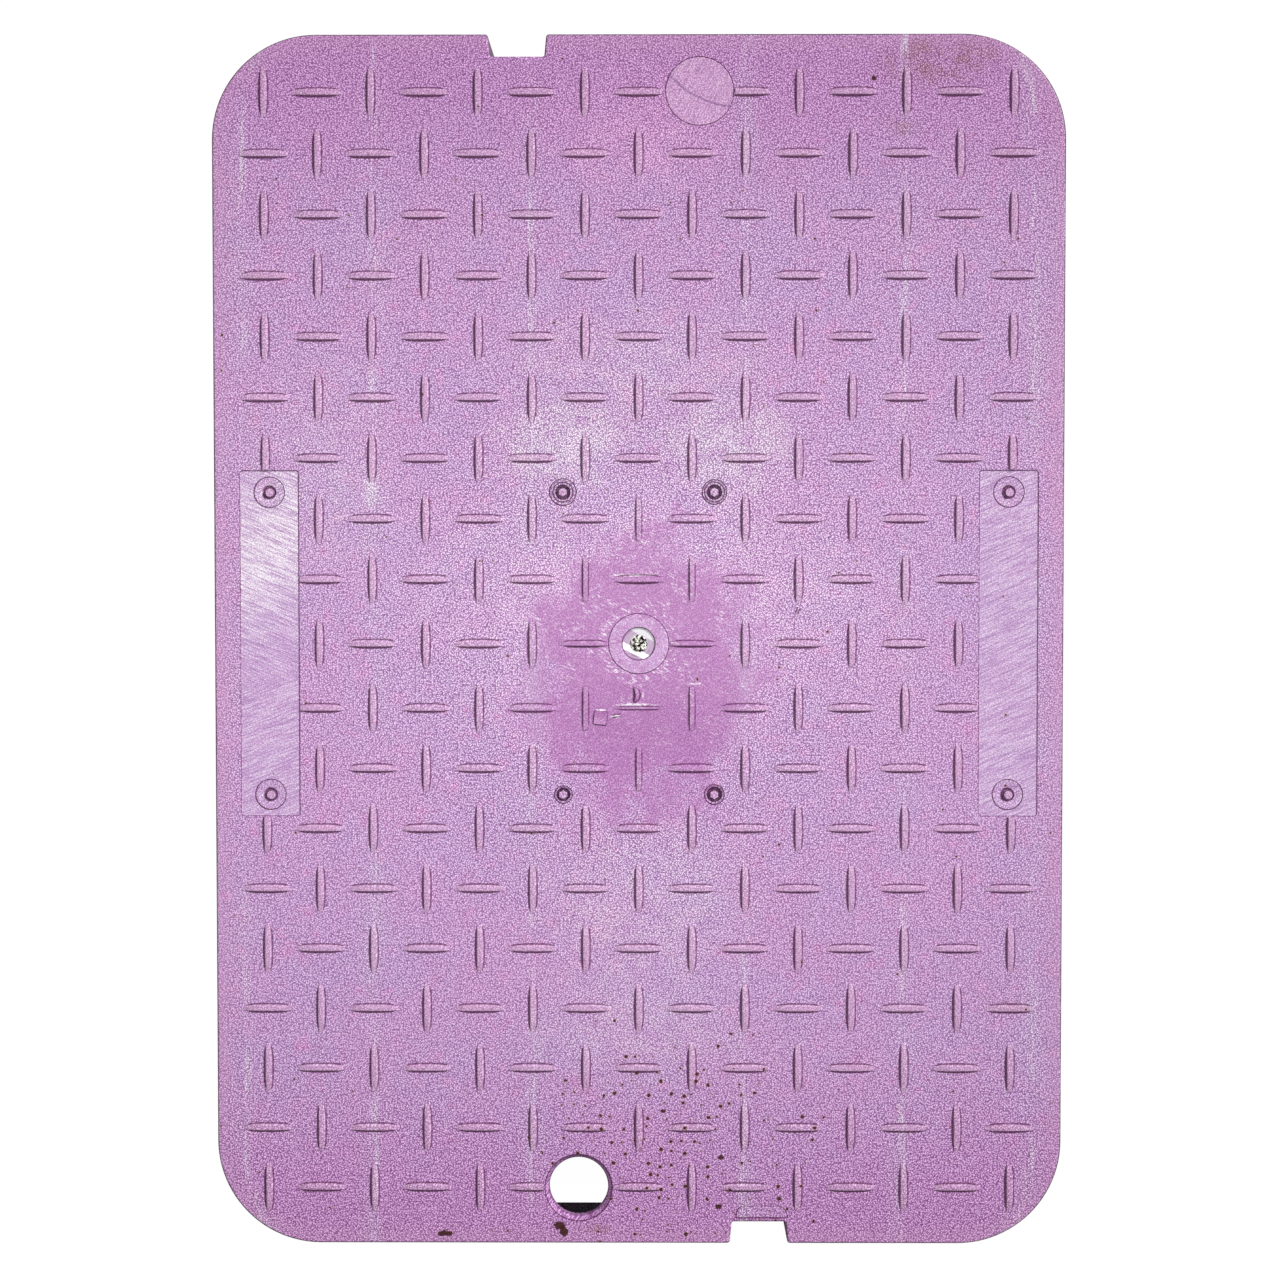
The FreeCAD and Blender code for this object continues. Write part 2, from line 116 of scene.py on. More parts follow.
GRAINED = finish()
# DARK, DIM, FOOT and DISH are painted shade: they darken grooves, moats, dishes, recess walls and the
# bars' feet where shade falls.
DARK = finish(dark=1.0)
DIM = finish(dark=0.55)
FOOT = finish(dark=0.8)
DISH = finish(dark=0.25)
POLISHED = finish(gloss=1.0)


class Moulding:
    """The points and faces of one closed mesh, and each face's finish."""

    def __init__(self):
        self.points = []
        self.faces = []
        self.finishes = []

    def loop(self, spots):
        """Add points and return their numbers."""
        first = len(self.points)
        self.points.extend(spots)
        return list(range(first, len(self.points)))

    def face(self, corners, look=GRAINED):
        self.faces.append(tuple(corners))
        self.finishes.append(look)

    def bridge(self, outer, inner, look=GRAINED):
        """Faces between two loops of as many points, both counter-clockwise, seen from above."""
        for here, (a, b) in enumerate(zip(outer, inner)):
            after = (here + 1) % len(outer)
            self.face((a, outer[after], inner[after], b), look)

    def chain(self, loops, inwards, looks):
        """Bridges from loop to loop, either inwards into a recess or outwards over an edge."""
        for before, after, look in zip(loops, loops[1:], looks):
            if inwards:
                self.bridge(before, after, look)
            else:
                self.bridge(after, before, look)

    def fill(self, outer, holes=(), look=GRAINED, down=False):
        """A flat face inside one loop and outside the others."""
        loops = [outer, *holes]
        numbers = [number for ring in loops for number in ring]
        spots = [Vector(self.points[number][:2]) for number in numbers]
        borders = []
        start = 0
        for ring in loops:
            borders.append(list(range(start, start + len(ring))))
            start += len(ring)
        result = delaunay_2d_cdt(spots, [], borders, 1, 1e-6)
        triangles, origins, owners = result[2], result[3], result[5]
        for triangle, owner in zip(triangles, owners):
            if list(owner) != [0]:
                continue
            corners = [numbers[origins[corner][0]] for corner in triangle]
            self.face(reversed(corners) if down else corners, look)

    def fan(self, ring, tip, look=GRAINED):
        """Triangles from a ring to one point inside it."""
        tip_number = self.loop([tip])[0]
        for here, number in enumerate(ring):
            self.face((number, ring[(here + 1) % len(ring)], tip_number), look)

    def mesh(self, name):
        """The finished mesh, in metres, smooth but for its sharp edges."""
        data = bpy.data.meshes.new(name)
        data.from_pydata([[part * MM for part in point] for point in self.points], [], self.faces)
        data.validate()
        for key in GRAINED:
            layer = data.attributes.new(key, "FLOAT", "FACE")
            layer.data.foreach_set("value", [look[key] for look in self.finishes])
        data.shade_smooth()
        data.set_sharp_from_angle(angle=math.radians(40))
        return data


def arc_steps(radius, turn):
    """How many straight pieces keep within the chord error of an arc."""
    reach = math.acos(max(0.0, 1 - CHORD_ERROR / max(radius, 2 * CHORD_ERROR)))
    return max(3, math.ceil(abs(turn) / (2 * reach)))


def rounded_outline(corners):
    """A counter-clockwise outline from corners with x, y and radius, as points with outward directions."""
    outline = []
    for here, (x, y, radius) in enumerate(corners):
        corner = Vector((x, y))
        arriving = (corner - Vector(corners[here - 1][:2])).normalized()
        leaving = (Vector(corners[(here + 1) % len(corners)][:2]) - corner).normalized()
        turn = math.atan2(arriving.cross(leaving), arriving.dot(leaving))
        side = 1 if turn > 0 else -1
        outward = Vector((arriving.y, -arriving.x))
        start = corner - arriving * radius * math.tan(abs(turn) / 2)
        middle = start - outward * radius * side
        steps = arc_steps(radius, turn)
        for step in range(steps + 1):
            direction = outward.copy()
            direction.rotate(Matrix.Rotation(turn * step / steps, 2))
            outline.append((middle + direction * radius * side, direction))
    return outline


def parted(profile):
    """A profile's places and, for each after the first, the look of the faces that lead to it."""
    places = [entry[:2] for entry in profile]
    looks = [entry[2] if len(entry) > 2 else GRAINED for entry in profile[1:]]
    return places, looks


def offset_chain(moulding, outline, profile, inwards, base=0.0):
    """Loops round an outline at a profile's distances and heights over a base, bridged one to the next."""
    places, looks = parted(profile)
    loops = []
    for distance, height in places:
        spots = [point + direction * distance for point, direction in outline]
        loops.append(moulding.loop([(spot.x, spot.y, base + height) for spot in spots]))
    moulding.chain(loops, inwards, looks)
    return loops


def round_chain(moulding, x, y, profile, count=48, wobble=None, base=TOP):
    """Loops round a point at a profile's radii and heights over a base, bridged inwards."""
    places, looks = parted(profile)
    loops = []
    for radius, height in places:
        ring = []
        for step in range(count):
            angle = 2 * math.pi * step / count
            reach = radius(angle) if callable(radius) else radius
            spot = (x + reach * math.cos(angle), y + reach * math.sin(angle))
            ring.append((*spot, base + height + (wobble(*spot, reach) if wobble else 0.0)))
        loops.append(moulding.loop(ring))
    moulding.chain(loops, True, looks)
    return loops


class Lug:
    """One raised bar of the tread: where it lies, which way it runs, how far and how worn."""

    def __init__(self, x, y, angle, low=-BAR_HALF_LENGTH, high=BAR_HALF_LENGTH):
        self.x, self.y = x, y
        self.cosine, self.sine = math.cos(angle), math.sin(angle)
        self.low, self.high = low, high
        self.low_cut = self.high_cut = False
        self.round_cuts = []
        self.top_half, self.flank, self.height = BAR_TOP_HALF, BAR_FLANK, BAR_HEIGHT
        self.reach = BAR_HALF_LENGTH
        self.bend = 0.0
        self.skirt = 0.28

    def shaped(self, **measures):
        """The same bar with some of its measures changed."""
        for name, value in measures.items():
            setattr(self, name, value)
        return self

    def place(self, along, across):
        """The point of the plate at a distance along and across the bar."""
        across += self.bend * along * along
        return (
            self.x + along * self.cosine - across * self.sine,
            self.y + along * self.sine + across * self.cosine,
        )

    def local(self, x, y):
        """The distances along and across the bar of a point of the plate."""
        dx, dy = x - self.x, y - self.y
        return dx * self.cosine + dy * self.sine, dy * self.cosine - dx * self.sine

    def rise(self, along):
        """The bar's height, which falls along an arc to nothing at its tips."""
        share = min(1.0, abs(along) / self.reach)
        return self.height * (1 - share ** 3)

    def limits(self, across, at_skirt):
        """Where the bar or its skirt starts and ends at a distance across it, short of what cuts it."""
        gap, spread = (0.06, 0.3) if at_skirt else (0.12, 0.0)
        low = self.low + (gap if self.low_cut else -spread)
        high = self.high - (gap if self.high_cut else -spread)
        for x, y, radius in self.round_cuts:
            along, aside = self.local(x, y)
            if abs(across - aside) >= radius + gap:
                continue
            half = math.sqrt((radius + gap) ** 2 - (across - aside) ** 2)
            if along > 0:
                high = min(high, along - half)
            else:
                low = max(low, along + half)
        return low, high


# The cuts along a bar, and the points across half of one: the shares of its top, flank and skirt in the
# distance from its middle line, and of its height.
LUG_STATIONS = 18
LUG_SECTION = (
    (1.0, 0.0, 1.0, 0.0),
    (1.0, 0.0, 0.0, 0.0),
    (1.0, -0.30, 0.0, 0.42),
    (1.0, -0.68, 0.0, 0.82),
    (1.0, -1.0, 0.0, 0.97),
    (0.6, -1.0, 0.0, 0.995),
)


def lug_section(lug, along):
    """Points across a bar at one place along it, as distances aside and heights."""
    rise = lug.rise(along)
    spread = lug.flank * max(rise / lug.height, 0.25)
    half = []
    for top_share, flank_share, skirt_share, height_share in LUG_SECTION:
        aside = top_share * lug.top_half + (1 + flank_share) * spread + skirt_share * lug.skirt
        half.append((aside, height_share * rise))
    middle = [(0.0, rise)]
    return half + middle + [(-aside, height) for aside, height in reversed(half)]


def add_lug(moulding, lug):
    """Add a bar's faces and return the loop round its skirt."""
    stations = [-lug.skirt / lug.reach] + [step / LUG_STATIONS for step in range(LUG_STATIONS + 1)]
    stations.append(1 + lug.skirt / lug.reach)
    last = len(stations) - 1
    rows = []
    for number, station in enumerate(stations):
        outermost = number in (0, last)
        share = min(1.0, max(0.0, station))
        middle_low, middle_high = lug.limits(0.0, False)
        section = lug_section(lug, middle_low + share * (middle_high - middle_low))
        row = []
        for aside, height in section:
            low, high = lug.limits(aside, outermost)
            along = low + share * (high - low)
            if outermost:
                height = 0.0
            scuff = 0.08 * height * noise.noise((aside * 0.7 + lug.x, along * 0.7 + lug.y, lug.x))
            row.append((*lug.place(along, aside), min(TOP + height - abs(scuff), TOP + BAR_HEIGHT)))
        rows.append(moulding.loop(row))
    for number, (before, after) in enumerate(zip(rows, rows[1:])):
        clear_of_tips = 2 < number < last - 3
        for here in range(len(before) - 1):
            at_foot = here in (0, len(before) - 2)
            look = FOOT if at_foot and clear_of_tips else GRAINED
            moulding.face((before[here], before[here + 1], after[here + 1], after[here]), look)
    left = [row[0] for row in rows]
    right = [row[-1] for row in rows]
    return rows[0][:-1] + right[:-1] + rows[-1][:0:-1] + left[:0:-1]


def row_along(row):
    """How far a row of bars lies from the middle one."""
    if row == 0:
        return 0.0
    return math.copysign(FIRST_ROW_STEP + (abs(row) - 1) * ROW_STEP, row)


def tread_lugs(chance):
    """Every bar of the tread, trimmed where the panels, the gate, the plug and the pull hole stop it."""
    rounds = (
        (0.0, 0.0, GATE_RADIUS),
        (PLUG_OFFSET, PLUG_ALONG, PLUG_RADIUS),
        (-PLUG_OFFSET, -PLUG_ALONG, PLUG_RADIUS),
    )
    lugs = []
    for row in range(-LAST_ROW, LAST_ROW + 1):
        for column in range(-LAST_COLUMN, LAST_COLUMN + 1):
            x, y = column * COLUMN_STEP, row_along(row)
            upright = (row + column) % 2 == 0
            worn = chance.uniform(MOST_WORN, 1.0)
            in_panel = abs(abs(x) - PANEL_OFFSET) < PANEL_HALF_WIDTH and abs(y) < PANEL_HALF_LENGTH
            in_round = any(math.hypot(x - cx, y - cy) < radius for cx, cy, radius in rounds)
            if in_panel or in_round:
                continue
            lug = Lug(x, y, math.pi / 2 if upright else 0.0)
            lug.height *= worn
            for cx, cy, radius in rounds:
                if math.hypot(x - cx, y - cy) < radius + BAR_HALF_LENGTH + 1.0:
                    lug.round_cuts.append((cx, cy, radius + RIM))
            trim_at_panel(lug, upright)
            reshape_near_gate(lug, column, row, upright)
            lugs.append(lug)
    return lugs


def trim_at_panel(lug, upright):
    """Stop a bar that runs into a side panel at the panel's edge."""
    if upright and abs(abs(lug.x) - PANEL_OFFSET) < PANEL_HALF_WIDTH:
        reach, towards = abs(lug.y) - PANEL_HALF_LENGTH, -lug.y
    elif not upright and abs(lug.y) < PANEL_HALF_LENGTH:
        reach, towards = PANEL_OFFSET - PANEL_HALF_WIDTH - abs(lug.x), lug.x
    else:
        return
    if not 0 < reach < BAR_HALF_LENGTH:
        return
    if towards > 0:
        lug.high, lug.high_cut = reach - PANEL_GAP, True
    else:
        lug.low, lug.low_cut = PANEL_GAP - reach, True


def reshape_near_gate(lug, column, row, upright):
    """The narrow bars of the repaired patch round the gate."""
    if upright and abs(column) <= 1 and abs(row) <= 2:
        lug.shaped(top_half=0.72, flank=0.36, height=0.75, reach=10.5)
        lug.shaped(low=-7.8, high=7.7, low_cut=True, high_cut=True)
    if row == 0 and abs(column) == 1:
        lug.shaped(top_half=0.6, flank=0.6)
    if (column, row) == (0, -1):
        lug.shaped(top_half=0.35, flank=0.3, height=0.4)


def cover_outline():
    """The cover's outside, with a pry notch in each end."""
    x, y = HALF_WIDTH, HALF_LENGTH
    notch = [
        (-NOTCH_MOUTH_HALF, 0.0, 1.1),
        (-NOTCH_ROOT_HALF, NOTCH_DEPTH, 0.8),
        (NOTCH_ROOT_HALF, NOTCH_DEPTH, 0.8),
        (NOTCH_MOUTH_HALF, 0.0, 1.1),
    ]
    half = [(-x, -y, CORNER_RADIUS)]
    half += [(NOTCH_OFFSET + across, -y + inwards, radius) for across, inwards, radius in notch]
    half += [(x, -y, CORNER_RADIUS)]
    return rounded_outline(half + [(-across, -along, radius) for across, along, radius in half])


def lining_edges():
    """The far notch's lining: its low x, its high x and its inner y."""
    half = NOTCH_MOUTH_HALF + WALL
    return -NOTCH_OFFSET - half, -NOTCH_OFFSET + half, HALF_LENGTH - NOTCH_DEPTH - WALL


def inner_outline():
    """The inside of the outer wall, which is carried round behind the notches."""
    x, y = HALF_WIDTH - WALL, HALF_LENGTH - WALL
    low, high, along = lining_edges()
    radius = CORNER_RADIUS - WALL
    half = [
        (x, y, radius),
        (high, y, LINING_RADIUS),
        (high, along, LINING_RADIUS),
        (low, along, LINING_RADIUS),
        (low, y, LINING_RADIUS),
        (-x, y, radius),
    ]
    return rounded_outline(half + [(-across, -on, bend) for across, on, bend in half])


def cell_outline(column, row):
    """One cell between the ribs. The cells of the near row are those of the far row, turned half round."""
    if row > 0:
        return rounded_outline(cell_corners(column, row))
    turned = cell_corners(len(LONG_RIBS) - column, len(CROSS_RIBS))
    return rounded_outline([(-x, -y, radius) for x, y, radius in turned])


def cell_corners(column, row):
    """The corners of a cell, cut back by the outer wall's corners and the far notch's lining."""
    wall_x, wall_y = HALF_WIDTH - WALL - LEDGE, HALF_LENGTH - WALL - LEDGE
    across = [-wall_x, *LONG_RIBS, wall_x]
    along = [-wall_y, *CROSS_RIBS, wall_y]
    first, last = column == 0, column == len(LONG_RIBS)
    far = row == len(CROSS_RIBS)
    low_x = across[column] + (0 if first else RIB_HALF)
    high_x = across[column + 1] - (0 if last else RIB_HALF)
    low_y = along[row] + RIB_HALF
    high_y = along[row + 1] - (0 if far else RIB_HALF)
    wide = CORNER_RADIUS - WALL - LEDGE
    corners = [
        (low_x, low_y, CELL_RADIUS),
        (high_x, low_y, CELL_RADIUS),
        (high_x, high_y, wide if last and far else CELL_RADIUS),
        (low_x, high_y, wide if first and far else CELL_RADIUS),
    ]
    lining_low, lining_high, lining_y = lining_edges()
    lining_y -= LEDGE
    if far and column == 1:
        corners[2:3] = lining_step(high_x, lining_low - LEDGE, lining_y, high_y)
    if far and column == 2:
        corners[3:4] = reversed(lining_step(low_x, lining_high + LEDGE, lining_y, high_y))
    return corners


def lining_step(x, step, lining_y, high_y):
    """Three corners from beside a notch's lining to the wall beyond it."""
    bend = LINING_RADIUS + LEDGE
    return [(x, lining_y, CELL_RADIUS), (step, lining_y, bend), (step, high_y, CELL_RADIUS)]


def add_underside(moulding, wall_foot, hole_mouth):
    """The foot of the wall, the ribs and the cells between them."""
    inside = inner_outline()
    wall_loops = offset_chain(moulding, inside, [(0.0, 0.0), (0.0, RIB_FOOT)], False)
    moulding.fill(wall_foot, [wall_loops[0]], down=True)
    profile = [
        (0.0, RIB_FOOT),
        (-0.25, CEILING - 1.6),
        (-0.40, CEILING - 0.85),
        (-0.90, CEILING - 0.25),
        (-1.75, CEILING),
    ]
    feet = []
    for row in range(len(CROSS_RIBS) + 1):
        for column in range(len(LONG_RIBS) + 1):
            loops = offset_chain(moulding, cell_outline(column, row), profile, False)
            feet.append(loops[0])
            holes = [hole_mouth] if (column, row) == (2, 0) else []
            moulding.fill(loops[-1], holes, down=True)
    moulding.fill(wall_loops[1], feet, down=True)


def add_edge(moulding):
    """The plate's rounded edge and the outer wall: returns the loops at the plate and under the wall."""
    profile = [
        (-1.05, TOP),
        (-0.75, TOP),
        (-0.50, TOP - 0.06),
        (-0.22, TOP - 0.25),
        (-0.06, TOP - 0.55),
        (0.0, TOP - 0.9),
        (0.0, 0.6),
        (-0.15, 0.2),
        (-0.5, 0.0),
    ]
    loops = offset_chain(moulding, cover_outline(), profile, False)
    return loops[0], loops[-1]


def add_pull_hole(moulding):
    """The countersunk pull hole: returns the loops at the plate and under it."""
    profile = [
        (PLUG_RADIUS + RIM, 0.0),
        (PLUG_RADIUS + 0.05, 0.0),
        (PLUG_RADIUS - 0.35, -0.3, DARK),
        (PLUG_RADIUS - 0.45, -0.42),
        (PULL_RADIUS + 0.3, -1.9),
        (PULL_RADIUS + 0.08, -2.2, DIM),
        (PULL_RADIUS, -2.5, DIM),
        (PULL_RADIUS, 0.3 - PLATE_THICKNESS),
        (PULL_RADIUS + 0.25, -PLATE_THICKNESS),
    ]
    loops = round_chain(moulding, -PLUG_OFFSET, -PLUG_ALONG, profile, 80)
    return loops[0], loops[-1]


def add_plug(moulding):
    """The blank plug, which shows as a fine ring with a brushed face inside."""
    rim = [
        (PLUG_RADIUS + RIM, 0.0),
        (PLUG_RADIUS, 0.0),
        (PLUG_RADIUS - 0.08, -0.22, DARK),
        (PLUG_RADIUS - 0.24, -0.2, DARK),
        (PLUG_RADIUS - 0.34, -0.08),
    ]
    loops = round_chain(moulding, PLUG_OFFSET, PLUG_ALONG, rim, 80)
    moulding.fill(loops[-1], look=finish(brushed=0.9, brush_angle=62))
    return loops[0]


def torn(x, y, reach):
    """How far the torn stump of the feed stands above or below its mean height."""
    share = min(1.0, max(0.0, (3.0 - reach) / 0.6))
    coarse = 0.5 * noise.noise((x * 1.3, y * 1.3, 4.0))
    fine = 0.35 * noise.noise((x * 3.1, y * 3.1, 9.0))
    return share * (coarse + fine)


def add_gate(moulding):
    """The feed point: a fine ring, a land, a polished well and the torn stump of the feed."""
    land = -0.05
    rim = [
        (GATE_RADIUS + RIM, 0.0),
        (GATE_RADIUS, 0.0),
        (GATE_RADIUS - 0.1, -0.2, DARK),
        (GATE_RADIUS - 0.24, -0.18, DARK),
        (GATE_RADIUS - 0.34, land - 0.01),
        (GATE_RADIUS - 0.6, land),
        (WELL_RADIUS + 0.7, land),
        (WELL_RADIUS + 0.35, land),
        (WELL_RADIUS + 0.1, land - 0.05),
        (WELL_RADIUS - 0.05, -0.3, DARK),
        (WELL_RADIUS - 0.2, -0.72, DARK),
        (WELL_RADIUS - 0.45, -0.84, POLISHED),
        (4.6, -0.74, POLISHED),
        (3.8, -0.68, POLISHED),
        (3.15, -0.76, POLISHED),
    ]
    rim_loops = round_chain(moulding, 0.0, 0.0, rim, 72)
    stump = [
        (2.85, -0.7),
        (2.6, -0.45, POLISHED),
        (2.2, -0.3, POLISHED),
        (1.75, -0.3, POLISHED),
        (1.3, -0.35, POLISHED),
        (0.85, -0.3, POLISHED),
        (0.4, -0.35, POLISHED),
    ]
    stump_loops = round_chain(moulding, 0.0, 0.0, stump, 72, torn)
    moulding.bridge(rim_loops[-1], stump_loops[0], POLISHED)
    moulding.fan(stump_loops[-1], (0.0, 0.0, TOP - 0.4), POLISHED)
    return rim_loops[0]


def hexagon(flats):
    """The reach of a six-sided section at an angle."""
    def reach(angle):
        turn = (angle + math.pi / 6) % (math.pi / 3) - math.pi / 6
        return flats / 2 / math.cos(turn)
    return reach


def add_socket_mark(moulding, x, y, ring_radius):
    """The print of an insert's socket screw: a ringed dish, a moat darkened with painted shade and a
    six-sided stub.
    """
    second_ring = 3.7
    profile = [
        (ring_radius + RIM, 0.0),
        (ring_radius, 0.0),
        (ring_radius - 0.12, -0.3, DARK),
        (ring_radius - 0.3, -0.26, DARK),
        (ring_radius - 0.45, -0.12, DISH),
    ]
    if ring_radius > second_ring + 0.5:
        profile += [
            (second_ring, -0.16, DISH),
            (second_ring - 0.1, -0.42, DARK),
            (second_ring - 0.3, -0.4, DARK),
            (second_ring - 0.44, -0.24, DISH),
        ]
    flats = hexagon(2.95)
    moat = min(2.55, ring_radius - 1.05)
    profile += [
        (moat + 0.15, -0.26, DISH),
        (moat, -0.45, DARK),
        (moat - 0.2, -1.5, DARK),
        (1.95, -1.55, DARK),
        (flats, -1.45, DARK),
        (flats, -0.3, DARK),
        (flats, 0.05),
        (lambda angle: flats(angle) * 0.9, 0.2),
        (lambda angle: flats(angle) * 0.5, 0.24),
    ]
    loops = round_chain(moulding, x, y, profile)
    moulding.fan(loops[-1], (x, y, TOP + 0.24))
    return loops[0]


def add_panel(moulding, side):
    """A flat side panel with its brushed face and the prints of two screws."""
    middle = side * PANEL_OFFSET
    corners = [(middle + PANEL_HALF_WIDTH * x, PANEL_HALF_LENGTH * y, 1.2) for x, y in SQUARE]
    look = finish(brushed=1.0, brush_angle=24 * side)
    profile = [
        (0.12, TOP),
        (0.0, TOP),
        (-0.08, TOP - 0.05),
        (-0.42, PANEL_FLOOR + 0.04, FOOT),
        (-0.54, PANEL_FLOOR, look),
        (-0.7, PANEL_FLOOR, look),
    ]
    loops = offset_chain(moulding, rounded_outline(corners), profile, True)
    dishes = [add_panel_mark(moulding, middle, end * MARK_ROW, look) for end in (-1, 1)]
    moulding.fill(loops[-1], dishes, look)
    return loops[0]


def add_panel_mark(moulding, x, y, look):
    """The print of a panel screw: a fine ring, a dish, a moat and a round stub."""
    dish = finish(brushed=0.5, brush_angle=24)
    profile = [
        (5.75, 0.0),
        (5.55, 0.0, look),
        (5.45, -0.25, DARK),
        (5.22, -0.22, DARK),
        (5.05, -0.05, dish),
        (3.2, -0.18, dish),
        (2.5, -0.35, dish),
        (2.2, -0.95, DIM),
        (1.95, -1.0, DARK),
    ]
    loops = round_chain(moulding, x, y, profile, base=PANEL_FLOOR)
    stub_profile = [
        (1.62, -0.9),
        (1.58, -0.1, DIM),
        (1.55, 0.6),
        (1.4, 0.78),
        (0.7, 0.84),
    ]
    stub_x, stub_y = x + 0.24, y - 0.12
    stub_loops = round_chain(moulding, stub_x, stub_y, stub_profile, base=PANEL_FLOOR)
    moulding.bridge(loops[-1], stub_loops[0], DARK)
    moulding.fan(stub_loops[-1], (stub_x, stub_y, PANEL_FLOOR + 0.86))
    return loops[0]


def add_notch_mark(moulding):
    """The print of the mould's insert behind the near notch."""
    low, high = -HALF_LENGTH + NOTCH_DEPTH + 1.22, -HALF_LENGTH + NOTCH_DEPTH + 5.8
    left, right = NOTCH_OFFSET - 8.4, NOTCH_OFFSET + 10.6
    corners = [(left, low, 0.7), (right, low, 0.7), (right - 1.4, high, 3.2), (left + 0.6, high, 3.2)]
    look = finish(brushed=0.3, brush_angle=90)
    profile = [
        (0.12, 0.0),
        (0.0, 0.0),
        (-0.25, -0.25, DARK),
        (-0.4, -0.2, DIM),
        (-0.55, -0.06, look),
    ]
    loops = offset_chain(moulding, rounded_outline(corners), profile, True, TOP)
    moulding.fill(loops[-1], look=look)
    return loops[0]


def add_chip(moulding):
    """A square chip of plastic pressed on beside the gate."""
    x, y, half, turn = -13.5, -26.2, 2.5, math.radians(-6)
    corners = []
    for across, along in SQUARE:
        corner = Vector((half * across, half * along))
        corner.rotate(Matrix.Rotation(turn, 2))
        corners.append((x + corner.x, y + corner.y, 0.5))
    profile = [(0.3, 0.0), (0.05, 0.0), (-0.15, 0.4, FOOT), (-0.35, 0.6), (-0.49, 0.55)]
    loops = offset_chain(moulding, rounded_outline(corners), profile, True, TOP)
    moulding.fill(loops[-1])
    return loops[0]


def damage_lugs():
    """The scars round the gate: a curled gouge, the streak beside the chip and a nick further off."""
    gouge = Lug(-0.6, -18.0, math.pi / 2, -2.8, 2.8)
    streak = Lug(-7.9, -25.4, math.radians(8), -2.2, 2.2)
    nick = Lug(55.9, 11.7, math.radians(70), -1.2, 1.2)
    return [
        gouge.shaped(top_half=0.35, flank=0.8, height=0.85, reach=2.9, bend=0.12),
        streak.shaped(top_half=0.15, flank=0.3, height=0.2, reach=2.3),
        nick.shaped(top_half=0.25, flank=0.3, height=0.35, reach=1.3),
    ]


def make_cover():
    """The whole cover, as one closed mesh."""
    moulding = Moulding()
    chance = random.Random(SEED)
    plate_edge, wall_foot = add_edge(moulding)
    hole_top, hole_mouth = add_pull_hole(moulding)
    add_underside(moulding, wall_foot, hole_mouth)

    features = [hole_top]
    features += [add(moulding) for add in (add_plug, add_gate, add_notch_mark, add_chip)]
    features += [add_panel(moulding, side) for side in (-1, 1)]
    ring_radii = {(-1, 1): 4.9, (1, 1): 4.5, (-1, -1): 3.3, (1, -1): 3.7}
    for (side, end), radius in ring_radii.items():
        features.append(add_socket_mark(moulding, side * SOCKET_MARK_OFFSET, end * MARK_ROW, radius))
    features += [add_lug(moulding, lug) for lug in tread_lugs(chance) + damage_lugs()]
    moulding.fill(plate_edge, features)

    cover = bpy.data.objects.new("moulded_cover", moulding.mesh("moulded_cover"))
    bpy.context.scene.collection.objects.link(cover)
    return cover


class Value:
    """A value in a node tree, which adds and multiplies like a number; a | b is the greater."""

    def __init__(self, nodes, socket):
        self.nodes = nodes
        self.socket = socket

    def __add__(self, other):
        return self.nodes.math("ADD", self, other)

    def __sub__(self, other):
        return self.nodes.math("SUBTRACT", self, other)

    def __rsub__(self, other):
        return self.nodes.math("SUBTRACT", other, self)

    def __mul__(self, other):
        return self.nodes.math("MULTIPLY", self, other)

    def __or__(self, other):
        return self.nodes.math("MAXIMUM", self, other)

    def __abs__(self):
        return self.nodes.math("ABSOLUTE", self)

    def step(self, low, high, to_low=0.0, to_high=1.0):
        """A smooth step from one level to another."""
        inputs = {0: self, 1: low, 2: high, 3: to_low, 4: to_high}
        return self.nodes.joined("ShaderNodeMapRange", inputs, interpolation_type="SMOOTHSTEP")

    def bell(self, middle, width):
        """One at a middle value, falling to nothing over a width."""
        return abs(self - middle).step(0.0, width, 1.0, 0.0)


class Nodes:
    """Short ways to add and join the nodes of one tree."""

    def __init__(self, tree):
        self.tree = tree

    def add(self, kind, **settings):
        node = self.tree.nodes.new(kind)
        for name, value in settings.items():
            setattr(node, name, value)
        return node

    def put(self, socket, value):
        """Set a socket to a number or a colour, or link a value to it."""
        if isinstance(value, Value):
            self.tree.links.new(value.socket, socket)
        elif socket.type == "RGBA":
            socket.default_value = (*value, 1.0)
        else:
            socket.default_value = value

    def joined(self, kind, inputs, output=0, **settings):
        """Add a node, set or link its inputs and return the value of one of its outputs."""
        node = self.add(kind, **settings)
        for key, value in inputs.items():
            self.put(node.inputs[key], value)
        return Value(self, node.outputs[output])

    def math(self, operation, first, second=0.0):
        return self.joined("ShaderNodeMath", {0: first, 1: second}, operation=operation)

    def mix(self, share, first, second, blend="MIX"):
        """One colour turned into another by a share."""
        inputs = {0: share, 6: first, 7: second}
        return self.joined("ShaderNodeMix", inputs, 2, data_type="RGBA", blend_type=blend)

    def distance(self, across, along):
        """How far a point lies from the origin, in plan."""
        return self.math("SQRT", across * across + along * along)

    def parts(self, whole, kind="ShaderNodeSeparateXYZ"):
        """The three parts of a vector or a colour."""
        node = self.add(kind)
        self.put(node.inputs[0], whole)
        return [Value(self, part) for part in node.outputs]

    def stretch(self, vector, scale, angle=0.0):
        """Coordinates turned about Z and then stretched."""
        inputs = {"Vector": vector, "Angle": angle}
        turned = self.joined("ShaderNodeVectorRotate", inputs, rotation_type="Z_AXIS")
        return self.joined("ShaderNodeVectorMath", {0: turned, 1: scale}, operation="MULTIPLY")


